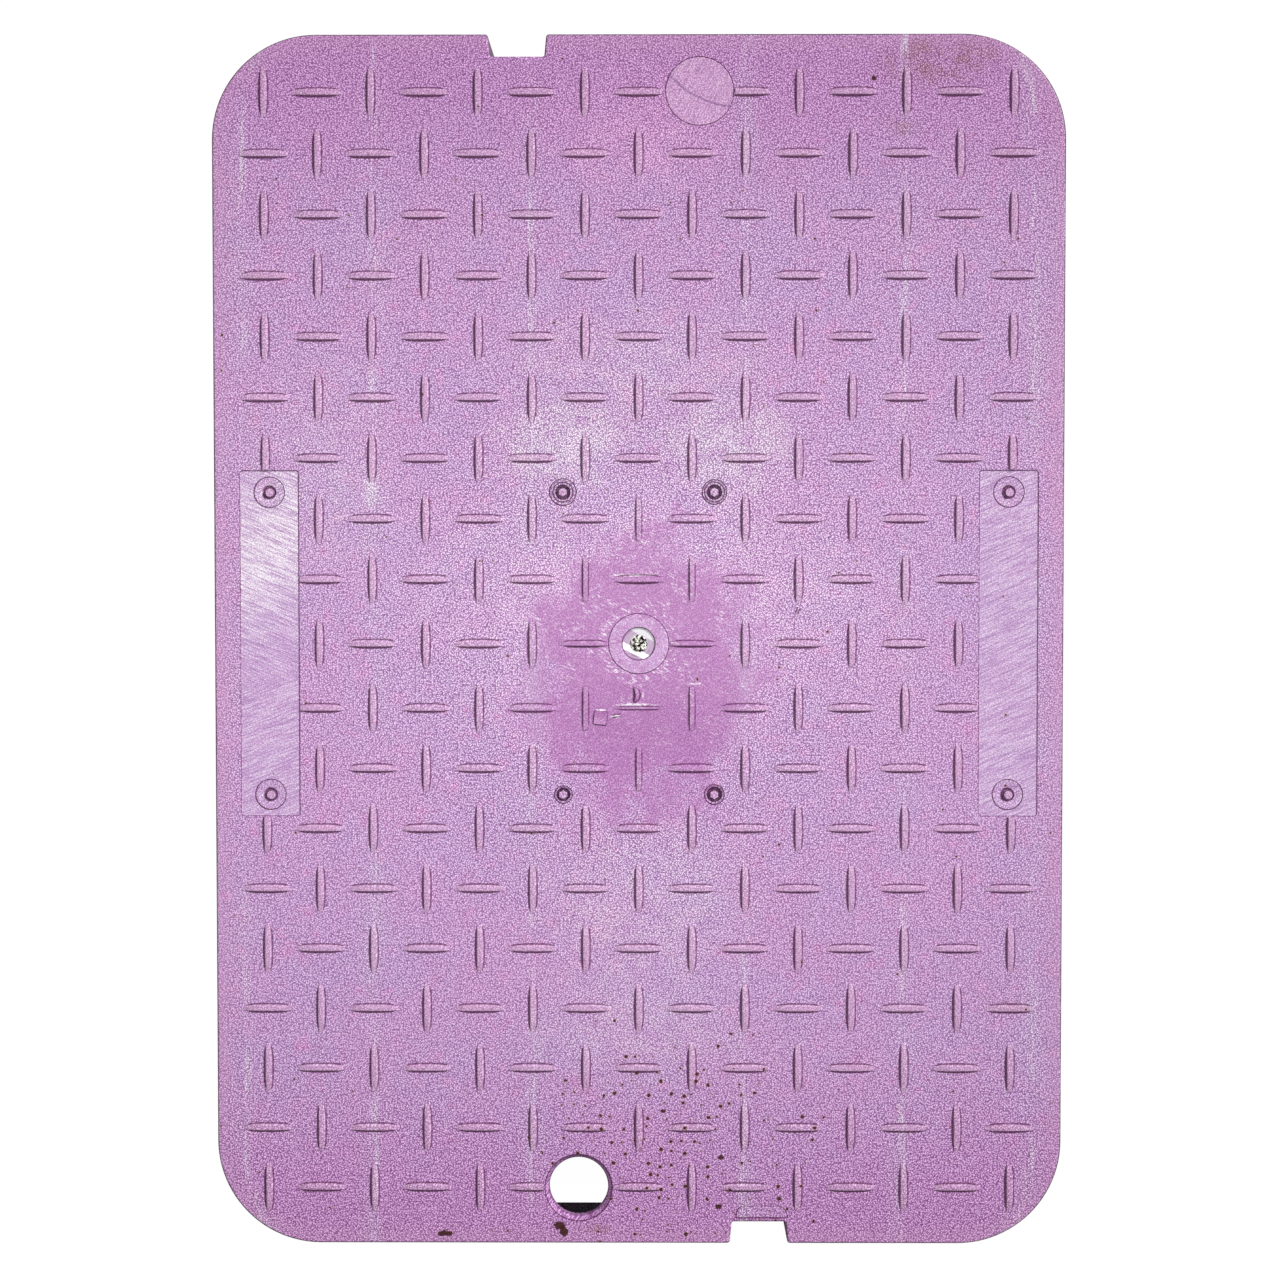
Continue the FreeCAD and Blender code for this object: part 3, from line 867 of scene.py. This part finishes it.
PINK = (0.528, 0.298, 0.546)
LILAC = (0.500, 0.310, 0.560)
ROSE = (0.61, 0.27, 0.52)
RICH = (0.484, 0.226, 0.490)
# The tint of a pool of light painted round the middle, below the overhead lamp.
PAINTED_LAMP_POOL = (0.80, 0.56, 0.81)
FAR_PINK = (0.76, 0.40, 0.67)
PALE = (0.78, 0.70, 0.80)
GREYISH = (0.54, 0.42, 0.60)
WORN_EDGE = (0.54, 0.29, 0.47)
BAR_TOP_TONE = (0.60, 0.36, 0.55)
SHADE = (0.100, 0.020, 0.078)

GATE_PINK = (0.405, 0.138, 0.398)
PATCH_PALE = (0.70, 0.45, 0.71)
PATCH_DEEP = (0.34, 0.115, 0.34)
PATCH_DIM = (0.40, 0.145, 0.38)
LAND_LILAC = (0.66, 0.47, 0.72)
TORN_WHITE_AND_HIGHLIGHT = (0.92, 0.80, 0.92)
# The gate well's pale band is a painted reflection and its white a painted glint.
WELL_DIM = (0.40, 0.25, 0.42)
WELL_PAINTED_REFLECTION = (0.66, 0.64, 0.68)
WELL_GLINT = (0.98, 0.98, 0.98)
STUMP_BLACK = (0.006, 0.004, 0.003)
STUMP_WHITE = (0.90, 0.92, 0.80)

PANEL_LILAC = (0.535, 0.335, 0.600)
BRUSHED_WHITE_AND_REFLECTION = (0.86, 0.78, 0.85)
PLUG_PINK = (0.66, 0.34, 0.58)
SCORED = (0.32, 0.16, 0.35)

MUD = (0.050, 0.016, 0.006)
STAIN = (0.40, 0.20, 0.15)
SMEAR = (0.33, 0.165, 0.215)
# The rim's dark is grime and painted shade; the dark below the hole is painted shade.
EDGE_GRIME_AND_SHADE = (0.055, 0.045, 0.05)
SHADE_BELOW_HOLE = (0.02, 0.015, 0.02)

# What the mean tone is multiplied by in the grain's pits and on its tips, and the palest it may come out.
# The pits are painted shade and the tips painted glints of the grain's tiny bumps.
GRAIN_PIT_SHADE = (0.43, 0.24, 0.45)
GRAIN_TIP_GLINT = (2.56, 2.98, 2.54)
PALEST = (0.97, 0.95, 0.97)
MEAN_SPARKLE = 0.277
GRAINS_PER_MM = 1.5
SPECKLES_PER_MM = 4.2

# The share of the key lamp's direction that lies across and along the cover.
KEY_ACROSS = 0.77
KEY_ALONG = 0.64

# Where pale lines lie above the ribs and the walls, and the arc of the crease across the plug.
RIB_LINES = (37.4, 93.0)
WALL_LINE = 138.6
CREASE_HUB = (PLUG_OFFSET + 14.1, PLUG_ALONG + 27.3)
CREASE_RADIUS = 32.8

# Clouds and smears: the middle, the two radii, the tint and its share. The wide bright cloud round the
# middle is a painted pool of light; the others are the plastic's own tints and smears.
CLOUDS = (
    ((0.0, 95.0), (56.0, 26.0), PALE, 0.2),
    ((-27.0, 70.0), (28.0, 17.0), PALE, 0.5),
    ((32.0, 69.0), (28.0, 18.0), PALE, 0.5),
    ((0.0, 16.0), (94.0, 54.0), PAINTED_LAMP_POOL, 0.45),
    ((-94.0, 54.0), (3.0, 7.0), PALE, 0.6),
    ((2.0, -92.0), (46.0, 34.0), PALE, 0.22),
    ((0.0, -134.0), (44.0, 26.0), PALE, 0.2),
    ((-112.0, 60.0), (30.0, 46.0), PALE, 0.16),
    ((0.0, 184.0), (40.0, 28.0), FAR_PINK, 0.9),
)
SMEARS = (
    ((104.0, 203.0), (24.0, 10.0), SMEAR, 0.75),
    ((92.0, 181.0), (9.0, 5.0), SMEAR, 0.5),
    ((-15.0, -207.5), (7.0, 2.2), SMEAR, 0.6),
    ((131.0, -128.0), (9.0, 3.0), SMEAR, 0.5),
)

# White marks round the gate and the larger spots of mud: the middle and the two radii. The second and
# third white marks are scars; the others are painted highlights along the upper edges of the bar above the
# gate, the smashed bar and the chip, and on the gouge's right side.
SCARS_AND_HIGHLIGHTS = (
    ((-0.8, -21.5), (7.4, 0.6)),
    ((-8.0, -25.7), (2.8, 0.6)),
    ((19.6, -14.0), (2.6, 0.5)),
    ((-2.0, 24.1), (9.0, 0.5)),
    ((1.5, -17.8), (0.32, 1.9)),
    ((-13.6, -23.4), (2.4, 0.4)),
)
MUD_SPOTS = (
    ((-28.1, -206.4), (1.9, 1.5)),
    ((-26.7, -208.4), (1.4, 1.9)),
    ((-68.5, -209.3), (3.2, 1.0)),
    ((82.0, 197.3), (0.9, 0.9)),
    ((8.5, -165.5), (1.0, 0.6)),
    ((29.0, -182.0), (1.0, 0.9)),
    ((28.2, -199.5), (1.1, 0.9)),
)


class Plate(Nodes):
    """The plastic's node tree, with where a point of it lies, in millimetres, and its face's finish."""

    def __init__(self, tree):
        super().__init__(tree)
        place = self.joined("ShaderNodeTexCoord", {}, "Object")
        self.spot = self.stretch(place, (1 / MM, 1 / MM, 1 / MM))
        self.x, self.y, self.z = self.parts(self.spot)
        self.side = abs(self.x)
        self.end = abs(self.y)
        self.from_gate = self.distance(self.x, self.y)
        self.from_edge = self.edge_distance()
        normal = self.joined("ShaderNodeNewGeometry", {}, "Normal")
        normal_x, normal_y, self.level = self.parts(normal)
        self.unlit = (normal_x * KEY_ACROSS + normal_y * KEY_ALONG).step(0.1, -0.3)
        self.brushed = self.attribute("brushed")
        self.brush_angle = self.attribute("brush_angle") * -1.0
        self.gloss = self.attribute("gloss")
        self.dark = self.attribute("dark")
        ragged = self.noise(0.07, 4.0, 0.7) * 60.0
        off_middle = self.distance(self.x - 2.0, (self.y + 8.0) * 0.85)
        self.patch = (off_middle + ragged).step(60.0, 78.0, 1.0, 0.0)
        self.on_bar = self.z.step(TOP + 0.06, TOP + 0.3)
        self.on_top = self.z.step(TOP - 1.0, TOP - 0.5)

    def attribute(self, name):
        """A finish of the point's face."""
        return self.joined("ShaderNodeAttribute", {}, "Fac", attribute_name=name)

    def edge_distance(self):
        """How far inside the cover's outline a point lies, in plan."""
        across = self.side - (HALF_WIDTH - CORNER_RADIUS)
        along = self.end - (HALF_LENGTH - CORNER_RADIUS)
        beyond = self.distance(across | 0.0, along | 0.0)
        within = self.math("MINIMUM", across | along, 0.0)
        return CORNER_RADIUS - (beyond + within)

    def stretched(self, scale, angle=0.0):
        """The point's place, turned about Z and then stretched."""
        return self.stretch(self.spot, scale, angle)

    def noise(self, scale, detail=2.0, roughness=0.5, place=None, distortion=0.0):
        """Soft noise at the point's own place or another."""
        inputs = {"Vector": place or self.spot, "Scale": scale, "Detail": detail}
        inputs.update({"Roughness": roughness, "Distortion": distortion})
        return self.joined("ShaderNodeTexNoise", inputs, "Fac")

    def cells(self, place, scale, dimensions="2D"):
        """Cells round scattered points: the distance to the nearest one, and each cell's three lots."""
        inputs = {"Vector": place, "Scale": scale}
        away = self.joined("ShaderNodeTexVoronoi", inputs, "Distance", voronoi_dimensions=dimensions)
        colour = Value(self, away.socket.node.outputs["Color"])
        return away, self.parts(colour, "ShaderNodeSeparateColor")

    def blot(self, middle, radii, ragged=0.35, soft=0.65):
        """A ragged blot on the plate, one inside it and nothing outside."""
        across = (self.x - middle[0]) * (1 / radii[0])
        along = (self.y - middle[1]) * (1 / radii[1])
        pitch = 1.1 / math.sqrt(radii[0] * radii[1]) + 0.05
        waver = self.noise(pitch, 4.0, 0.75) * (2 * ragged)
        reach = self.distance(across, along) + waver
        return reach.step(1.15 - soft + ragged, 1.15 + ragged, 1.0, 0.0)


def clouded(plate, tone, clouds, tints):
    """The tone under ragged clouds of other tints."""
    for middle, radii, tint, share in clouds:
        cloud = plate.blot(middle, radii, 0.7, 1.0) * tints.step(0.3, 0.6)
        tone = plate.mix(cloud * share, tone, tint)
    return tone


def patch_tone(plate, tone):
    """The smeared patch round the gate: deeper, with pale and dim streaks."""
    tone = plate.mix(plate.patch * 0.85, tone, GATE_PINK)
    streaky = plate.noise(1.0, 4.0, 0.75, plate.stretched((0.35, 1.5, 1.0), -0.6))
    tone = plate.mix(streaky.step(0.5, 0.72) * plate.patch * 0.7, tone, PATCH_PALE)
    lower = plate.blot((2.0, -28.0), (36.0, 22.0), 0.6, 1.0)
    tone = plate.mix(lower * plate.patch * 0.35, tone, PATCH_DEEP)
    return plate.mix(streaky.step(0.48, 0.3) * plate.patch * 0.75, tone, PATCH_DIM)


def cloudy_tone(plate):
    """The plastic's mean colour: lilac and pink clouds with a painted pool of light round the middle,
    richer at the ends and round the gate.
    """
    tints = plate.noise(0.15, 4.0, 0.7)
    tone = plate.mix(plate.noise(0.03, 3.0, 0.6).step(0.36, 0.64), PINK, LILAC)
    tone = plate.mix(tints.step(0.52, 0.72, 0.0, 0.7), tone, ROSE)
    tone = clouded(plate, tone, CLOUDS, tints)
    tone = plate.mix(plate.end.step(140.0, 208.0, 0.0, 0.85), tone, RICH)
    tone = patch_tone(plate, tone)
    on_land = plate.from_gate.step(GATE_RADIUS, GATE_RADIUS - 0.3) * tints.step(0.36, 0.6)
    tone = plate.mix(on_land * 0.45, tone, LAND_LILAC)
    ragged = plate.noise(0.1, 3.0) * 6.0
    worn = (plate.from_edge + ragged).step(4.0, 13.0, 0.35, 0.0)
    tone = plate.mix(worn, tone, WORN_EDGE)
    return clouded(plate, tone, SMEARS, tints)


def rib_ghosts(plate, tone):
    """Pale wisps and greyish bands on the plate above the long ribs and the side walls."""
    beyond = (plate.end - 180.0) | 0.0
    bent = plate.side + beyond * beyond * 0.0085

    def bands(width):
        inner, outer = [plate.side.bell(line, width) for line in RIB_LINES]
        return inner | outer | bent.bell(WALL_LINE, width)

    drift = plate.noise(1.0, 3.0, place=plate.stretched((0.12, 0.025, 0.1))).step(0.42, 0.7)
    wisps = plate.noise(1.0, 3.0, place=plate.stretched((0.9, 0.05, 0.1))).step(0.46, 0.72)
    tone = plate.mix(bands(8.0) * drift * plate.on_top * 0.35, tone, GREYISH)
    off_middle = plate.end.step(60.0, 95.0, 0.1, 0.55)
    return plate.mix(bands(2.4) * wisps * plate.on_top * off_middle, tone, PALE)


def sparkle(plate):
    """Painted glints of the grain's tiny bumps: pale grains close together, each with its own brightness,
    over a finer speckle.
    """
    slant = plate.z * 0.7
    flat = plate.joined("ShaderNodeCombineXYZ", {0: plate.x + slant, 1: plate.y + slant})
    away, lots = plate.cells(flat, GRAINS_PER_MM)
    grains = away.step(0.45, 0.1) * (lots[0] * 0.35 + 0.35)
    speckle = plate.cells(plate.spot, SPECKLES_PER_MM, "3D")[1][0]
    return grains + speckle * 0.3


def grained(plate, tone, sparkles, smooth):
    """The tone broken up by the mould's grain, painted as the light and shade of its relief: dark pits of
    painted shade and pale tips of painted glints, weaker on smooth faces.
    """
    strength = 1.0 - smooth * 0.8
    tips = (sparkles - MEAN_SPARKLE) * strength + MEAN_SPARKLE
    dark = plate.mix(1.0, tone, GRAIN_PIT_SHADE, "MULTIPLY")
    light = plate.mix(1.0, tone, GRAIN_TIP_GLINT, "MULTIPLY")
    return plate.mix(1.0, plate.mix(tips, dark, light), PALEST, "DARKEN")


def brushed_streaks(plate):
    """Fine strokes along each brushed face's own direction, turned over on the left panel's lower half."""
    def strokes(angle):
        return plate.noise(1.0, 2.0, 0.7, plate.stretched((0.12, 2.6, 1.0), angle))

    ragged = plate.y + plate.noise(0.08, 3.0) * 40.0
    lower = ragged.step(14.0, 0.0) * plate.x.step(0.0, -60.0)
    upper = 1.0 - lower
    return strokes(plate.brush_angle) * upper + strokes(plate.brush_angle * -0.85) * lower


def brushed_tone(plate, tone, streaks):
    """Strokes on the brushed faces, with a painted reflection whitening the left panel's upper half, and
    the plug's crease.
    """
    tone = plate.mix(plate.brushed * 0.7, tone, PANEL_LILAC)
    # Painted reflection: a whitish slanted band over the left panel's upper half, on top of the pale
    # strokes.
    slanted = plate.y + plate.x * -0.6
    left = plate.x.step(-100.0, -110.0) * slanted.bell(112.0, 38.0)
    share = plate.y.step(-30.0, 50.0, 0.34, 0.38) + left * 0.3
    white_strokes_and_reflection = streaks.step(0.46, 0.58) * share + left * 0.38
    tone = plate.mix(white_strokes_and_reflection * plate.brushed, tone, BRUSHED_WHITE_AND_REFLECTION)
    on_plug = plate.y.step(150.0, 160.0) * plate.brushed
    tone = plate.mix(on_plug * 0.55, tone, PLUG_PINK)
    from_hub = plate.distance(plate.x - CREASE_HUB[0], plate.y - CREASE_HUB[1])
    crease = from_hub.bell(CREASE_RADIUS, 0.8) * plate.brushed
    scored = streaks.step(0.48, 0.38) * plate.brushed * 0.42
    return plate.mix(scored | crease, tone, SCORED)


def white_flecks_and_highlights(plate, tone):
    """Fine white flecks where the plastic was torn and smeared round the gate, and painted highlights on
    the lit edges of the bars, the chip and the gouge beside it.
    """
    fine = plate.noise(0.7, 3.0, 0.6, plate.stretched((0.8, 2.2, 1.0), 0.5), 0.7)
    places = plate.noise(0.12, 2.0).step(0.45, 0.62, 0.12, 0.6)
    places = places * plate.y.step(-26.0, -8.0, 0.4, 1.0)
    ring = plate.from_gate.bell(12.0, 5.5) * 0.8
    mask = fine.step(0.54, 0.62) * (plate.patch * places | ring)
    for middle, radii in SCARS_AND_HIGHLIGHTS:
        mask = mask | plate.blot(middle, radii, 0.9) * fine.step(0.38, 0.52)
    return plate.mix(mask * plate.on_top, tone, TORN_WHITE_AND_HIGHLIGHT)


def gate_reflection_and_stump(plate, colour):
    """The polished well of the gate with a painted reflection, pale over its upper side, and a white
    painted glint across its lower side, and the black and white torn stump.
    """
    fall = plate.x * 0.45 + plate.y * 0.89
    glint = fall.step(-4.3, -3.9) * fall.step(-1.7, -2.2)
    well = plate.mix(fall.step(2.6, 3.4), WELL_DIM, WELL_PAINTED_REFLECTION)
    well = plate.mix(glint, well, WELL_GLINT)
    rags = plate.noise(1.1, 3.0, 0.6).step(0.47, 0.53)
    stump = plate.mix(rags, STUMP_BLACK, STUMP_WHITE)
    well = plate.mix(plate.from_gate.step(2.8, 3.3, 1.0, 0.0), well, stump)
    return plate.mix(plate.gloss, colour, well)


def foot_shade(plate):
    """Dark lines at the bars' feet and in grooves, deepest on the sides away from the key lamp."""
    on_top = plate.z.step(TOP - 0.5, TOP - 0.3) * plate.from_edge.step(1.2, 1.5)
    away = plate.level.step(0.98, 0.8) * plate.unlit * 0.78
    foot = plate.z.step(TOP + 0.5, TOP + 0.28) * plate.z.step(TOP - 0.02, TOP)
    crease = plate.level.step(0.95, 0.8) * foot * 0.8
    return (away | crease) * on_top | plate.dark * 0.85


def add_specks(plate, colour):
    """Small stained specks of mud of many sizes, thick near the pull hole and thin elsewhere."""
    away, lots = plate.cells(plate.spot, 0.24)
    region = plate.blot((14.0, -178.0), (56.0, 46.0), 0.5)
    size = lots[0].step(0.2, 1.0, 0.05, 0.17) * region.step(0.0, 0.5, 0.55, 1.0)
    uneven = (plate.noise(1.2, 2.0) - 0.5) * 0.22
    inside = size - (away + uneven)
    needed = 0.975 - region * 0.5
    present = plate.math("GREATER_THAN", lots[1], needed) * plate.on_top
    colour = plate.mix(inside.step(-0.11, -0.03) * present * 0.4, colour, STAIN)
    return plate.mix(inside.step(-0.01, 0.02) * present * 0.93, colour, MUD)


def add_dirt_and_shade(plate, colour):
    """Mud specks and spots, grime and painted shade on the plate's rounded edge, painted shade on a
    notch's walls, and painted shade on the wall seen below the hole.
    """
    colour = add_specks(plate, colour)
    for middle, radii in MUD_SPOTS:
        spot = plate.blot(middle, radii, 1.1, 0.3) * plate.on_top
        colour = plate.mix(spot * 0.95, colour, MUD)

    # Grime and painted shade: the rounded rim darkened where it turns down and away from the light.
    tilted = plate.level.step(0.99, 0.8)
    rim = tilted * plate.from_edge.step(1.6, 0.8) * plate.z.step(TOP - 3.0, TOP - 0.5)
    patchy = plate.noise(0.05, 3.0).step(0.3, 0.6, 0.55, 1.0)
    colour = plate.mix(rim * patchy * 0.9, colour, EDGE_GRIME_AND_SHADE)

    # Painted shade on the upright walls of a notch, which lie in shadow.
    at_notch = (plate.x * plate.y).step(0.0, -4000.0) * plate.end.step(204.0, 204.8)
    at_notch = at_notch * plate.side.bell(NOTCH_OFFSET, 30.0) * plate.from_edge.step(0.2, 0.6)
    upright = plate.level.step(0.7, 0.3) * plate.z.step(TOP - 0.2, TOP - 1.0)
    colour = plate.mix(at_notch * upright, colour, EDGE_GRIME_AND_SHADE)

    # Painted shade on the wall's inner face that shows through the pull hole.
    hole_shade = plate.blot((-PLUG_OFFSET, -HALF_LENGTH + WALL), (22.0, 5.0), 0.1)
    inside = hole_shade * plate.z.step(CEILING, CEILING - 2.0)
    return plate.mix(inside * 0.93, colour, SHADE_BELOW_HOLE)


def smoothness(plate):
    """How far the grain is worn off: on the bars, the brushed faces, the patch and the edge."""
    smooth = plate.on_bar * 0.5 | plate.brushed * 0.7
    return smooth | plate.patch * 0.78 | plate.from_edge.step(1.5, 7.0, 0.3, 0.0)


def surface_colour(plate, smooth, streaks):
    """All layers of the plastic's colour, from its mean tone to the dirt on it, with painted light and
    shade among them.
    """
    tone = rib_ghosts(plate, cloudy_tone(plate))
    on_bar = plate.on_bar * (0.6 - plate.patch * 0.5)
    tone = plate.mix(on_bar, tone, BAR_TOP_TONE)
    tone = brushed_tone(plate, tone, streaks)
    tone = white_flecks_and_highlights(plate, tone)
    coarser = plate.y.step(0.0, 90.0, 0.0, 0.12) + plate.y.step(-130.0, -190.0, 0.0, 0.3)
    coarser = coarser + plate.from_gate.bell(60.0, 60.0) * 0.25
    colour = grained(plate, tone, sparkle(plate), smooth - coarser)
    colour = gate_reflection_and_stump(plate, colour)
    colour = plate.mix(foot_shade(plate), colour, SHADE)
    return add_dirt_and_shade(plate, colour)


def plastic_material():
    """Lavender plastic with a sparkling grain, cloudy tints, rib wisps, wear and dirt, and painted shade,
    glints and reflections.
    """
    material = bpy.data.materials.new("cover_plastic")
    material.use_nodes = True
    plate = Plate(material.node_tree)
    shader = material.node_tree.nodes["Principled BSDF"].inputs
    grain = plate.noise(3.2, 2.0, 0.6)
    streaks = brushed_streaks(plate)
    smooth = smoothness(plate)

    colour = surface_colour(plate, smooth, streaks)
    plate.put(shader["Base Color"], colour)
    rough = grain * 0.25 + 0.38 - plate.gloss * 0.36 - plate.patch * 0.08
    plate.put(shader["Roughness"], rough | 0.1)
    shader["IOR"].default_value = 1.5
    lightness = plate.joined("ShaderNodeRGBToBW", {0: colour})
    plate.put(shader["Specular IOR Level"], lightness.step(0.02, 0.22, 0.04, 0.5))

    relief = grain * (0.25 - smooth * 0.2) + streaks * plate.brushed * 0.5
    leathery = plate.noise(1.0, 2.0, 0.6) * plate.y.step(-140.0, -195.0, 0.0, 1.4)
    inputs = {"Strength": 0.6, "Distance": 0.22 * MM, "Height": relief + leathery}
    plate.put(shader["Normal"], plate.joined("ShaderNodeBump", inputs))
    return material


def floor_material():
    """White to the camera, with a faint shadow."""
    material = bpy.data.materials.new("floor")
    material.use_nodes = True
    nodes = Nodes(material.node_tree)
    material.node_tree.nodes.clear()
    seen = nodes.joined("ShaderNodeLightPath", {}, "Is Camera Ray")
    matte = nodes.joined("ShaderNodeBsdfDiffuse", {"Color": (0.9, 0.9, 0.9)})
    glow = nodes.joined("ShaderNodeEmission", {"Strength": 1.05})
    blend = nodes.joined("ShaderNodeMixShader", {0: seen * 0.94, 1: matte, 2: glow})
    output = nodes.add("ShaderNodeOutputMaterial")
    nodes.put(output.inputs["Surface"], blend)
    return material


def make_floor():
    """A wide floor, which isn't part of the model."""
    reach = 4.0
    data = bpy.data.meshes.new("floor")
    data.from_pydata([(reach * x, reach * y, 0) for x, y in SQUARE], [], [(0, 1, 2, 3)])
    data.materials.append(floor_material())
    floor = bpy.data.objects.new("floor", data)
    bpy.context.scene.collection.objects.link(floor)


def add_lamp(name, place, aim, size, power):
    """A soft lamp of a width and a depth that shines at a point."""
    data = bpy.data.lights.new(name, "AREA")
    data.shape = "RECTANGLE"
    data.size, data.size_y = size
    data.energy = power
    lamp = bpy.data.objects.new(name, data)
    lamp.location = place
    lamp.rotation_euler = (Vector(aim) - Vector(place)).to_track_quat("-Z", "Y").to_euler()
    bpy.context.scene.collection.objects.link(lamp)


def make_light():
    """Soft light all round, a far key lamp from the upper right and a near lamp overhead."""
    world = bpy.data.worlds.new("studio")
    world.use_nodes = True
    nodes = Nodes(world.node_tree)
    sky = world.node_tree.nodes["Background"]
    sky.inputs["Color"].default_value = (1.0, 1.0, 1.0, 1.0)
    seen = nodes.joined("ShaderNodeLightPath", {}, "Is Camera Ray")
    nodes.put(sky.inputs["Strength"], seen * 0.8 + 0.2)
    bpy.context.scene.world = world
    sun = bpy.data.lights.new("key", "SUN")
    sun.energy = 2.5
    sun.angle = math.radians(9)
    key = bpy.data.objects.new("key", sun)
    key.rotation_euler = Vector((-0.65, -0.54, -0.53)).to_track_quat("-Z", "Y").to_euler()
    bpy.context.scene.collection.objects.link(key)
    add_lamp("overhead", (-0.005, 0.015, 0.46), (-0.005, 0.015, 0.0), (0.5, 0.14), 1.02)


def make_camera():
    """A camera almost straight above the cover, as in the photograph."""
    image_width = 1280.0
    focal_pixels = 2453.6
    data = bpy.data.cameras.new("camera")
    data.sensor_width = 36.0
    data.lens = data.sensor_width * focal_pixels / image_width
    camera = bpy.data.objects.new("camera", data)
    camera.location = (0.00605, 0.03149, 0.9)
    camera.rotation_euler = (-0.0350, 0.00647, -0.00033)
    bpy.context.scene.collection.objects.link(camera)
    bpy.context.scene.camera = camera


cover = make_cover()
cover.data.materials.append(plastic_material())
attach(cover, "root")
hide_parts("cover")

make_floor()
make_light()
make_camera()
bpy.context.scene.view_settings.view_transform = "Standard"
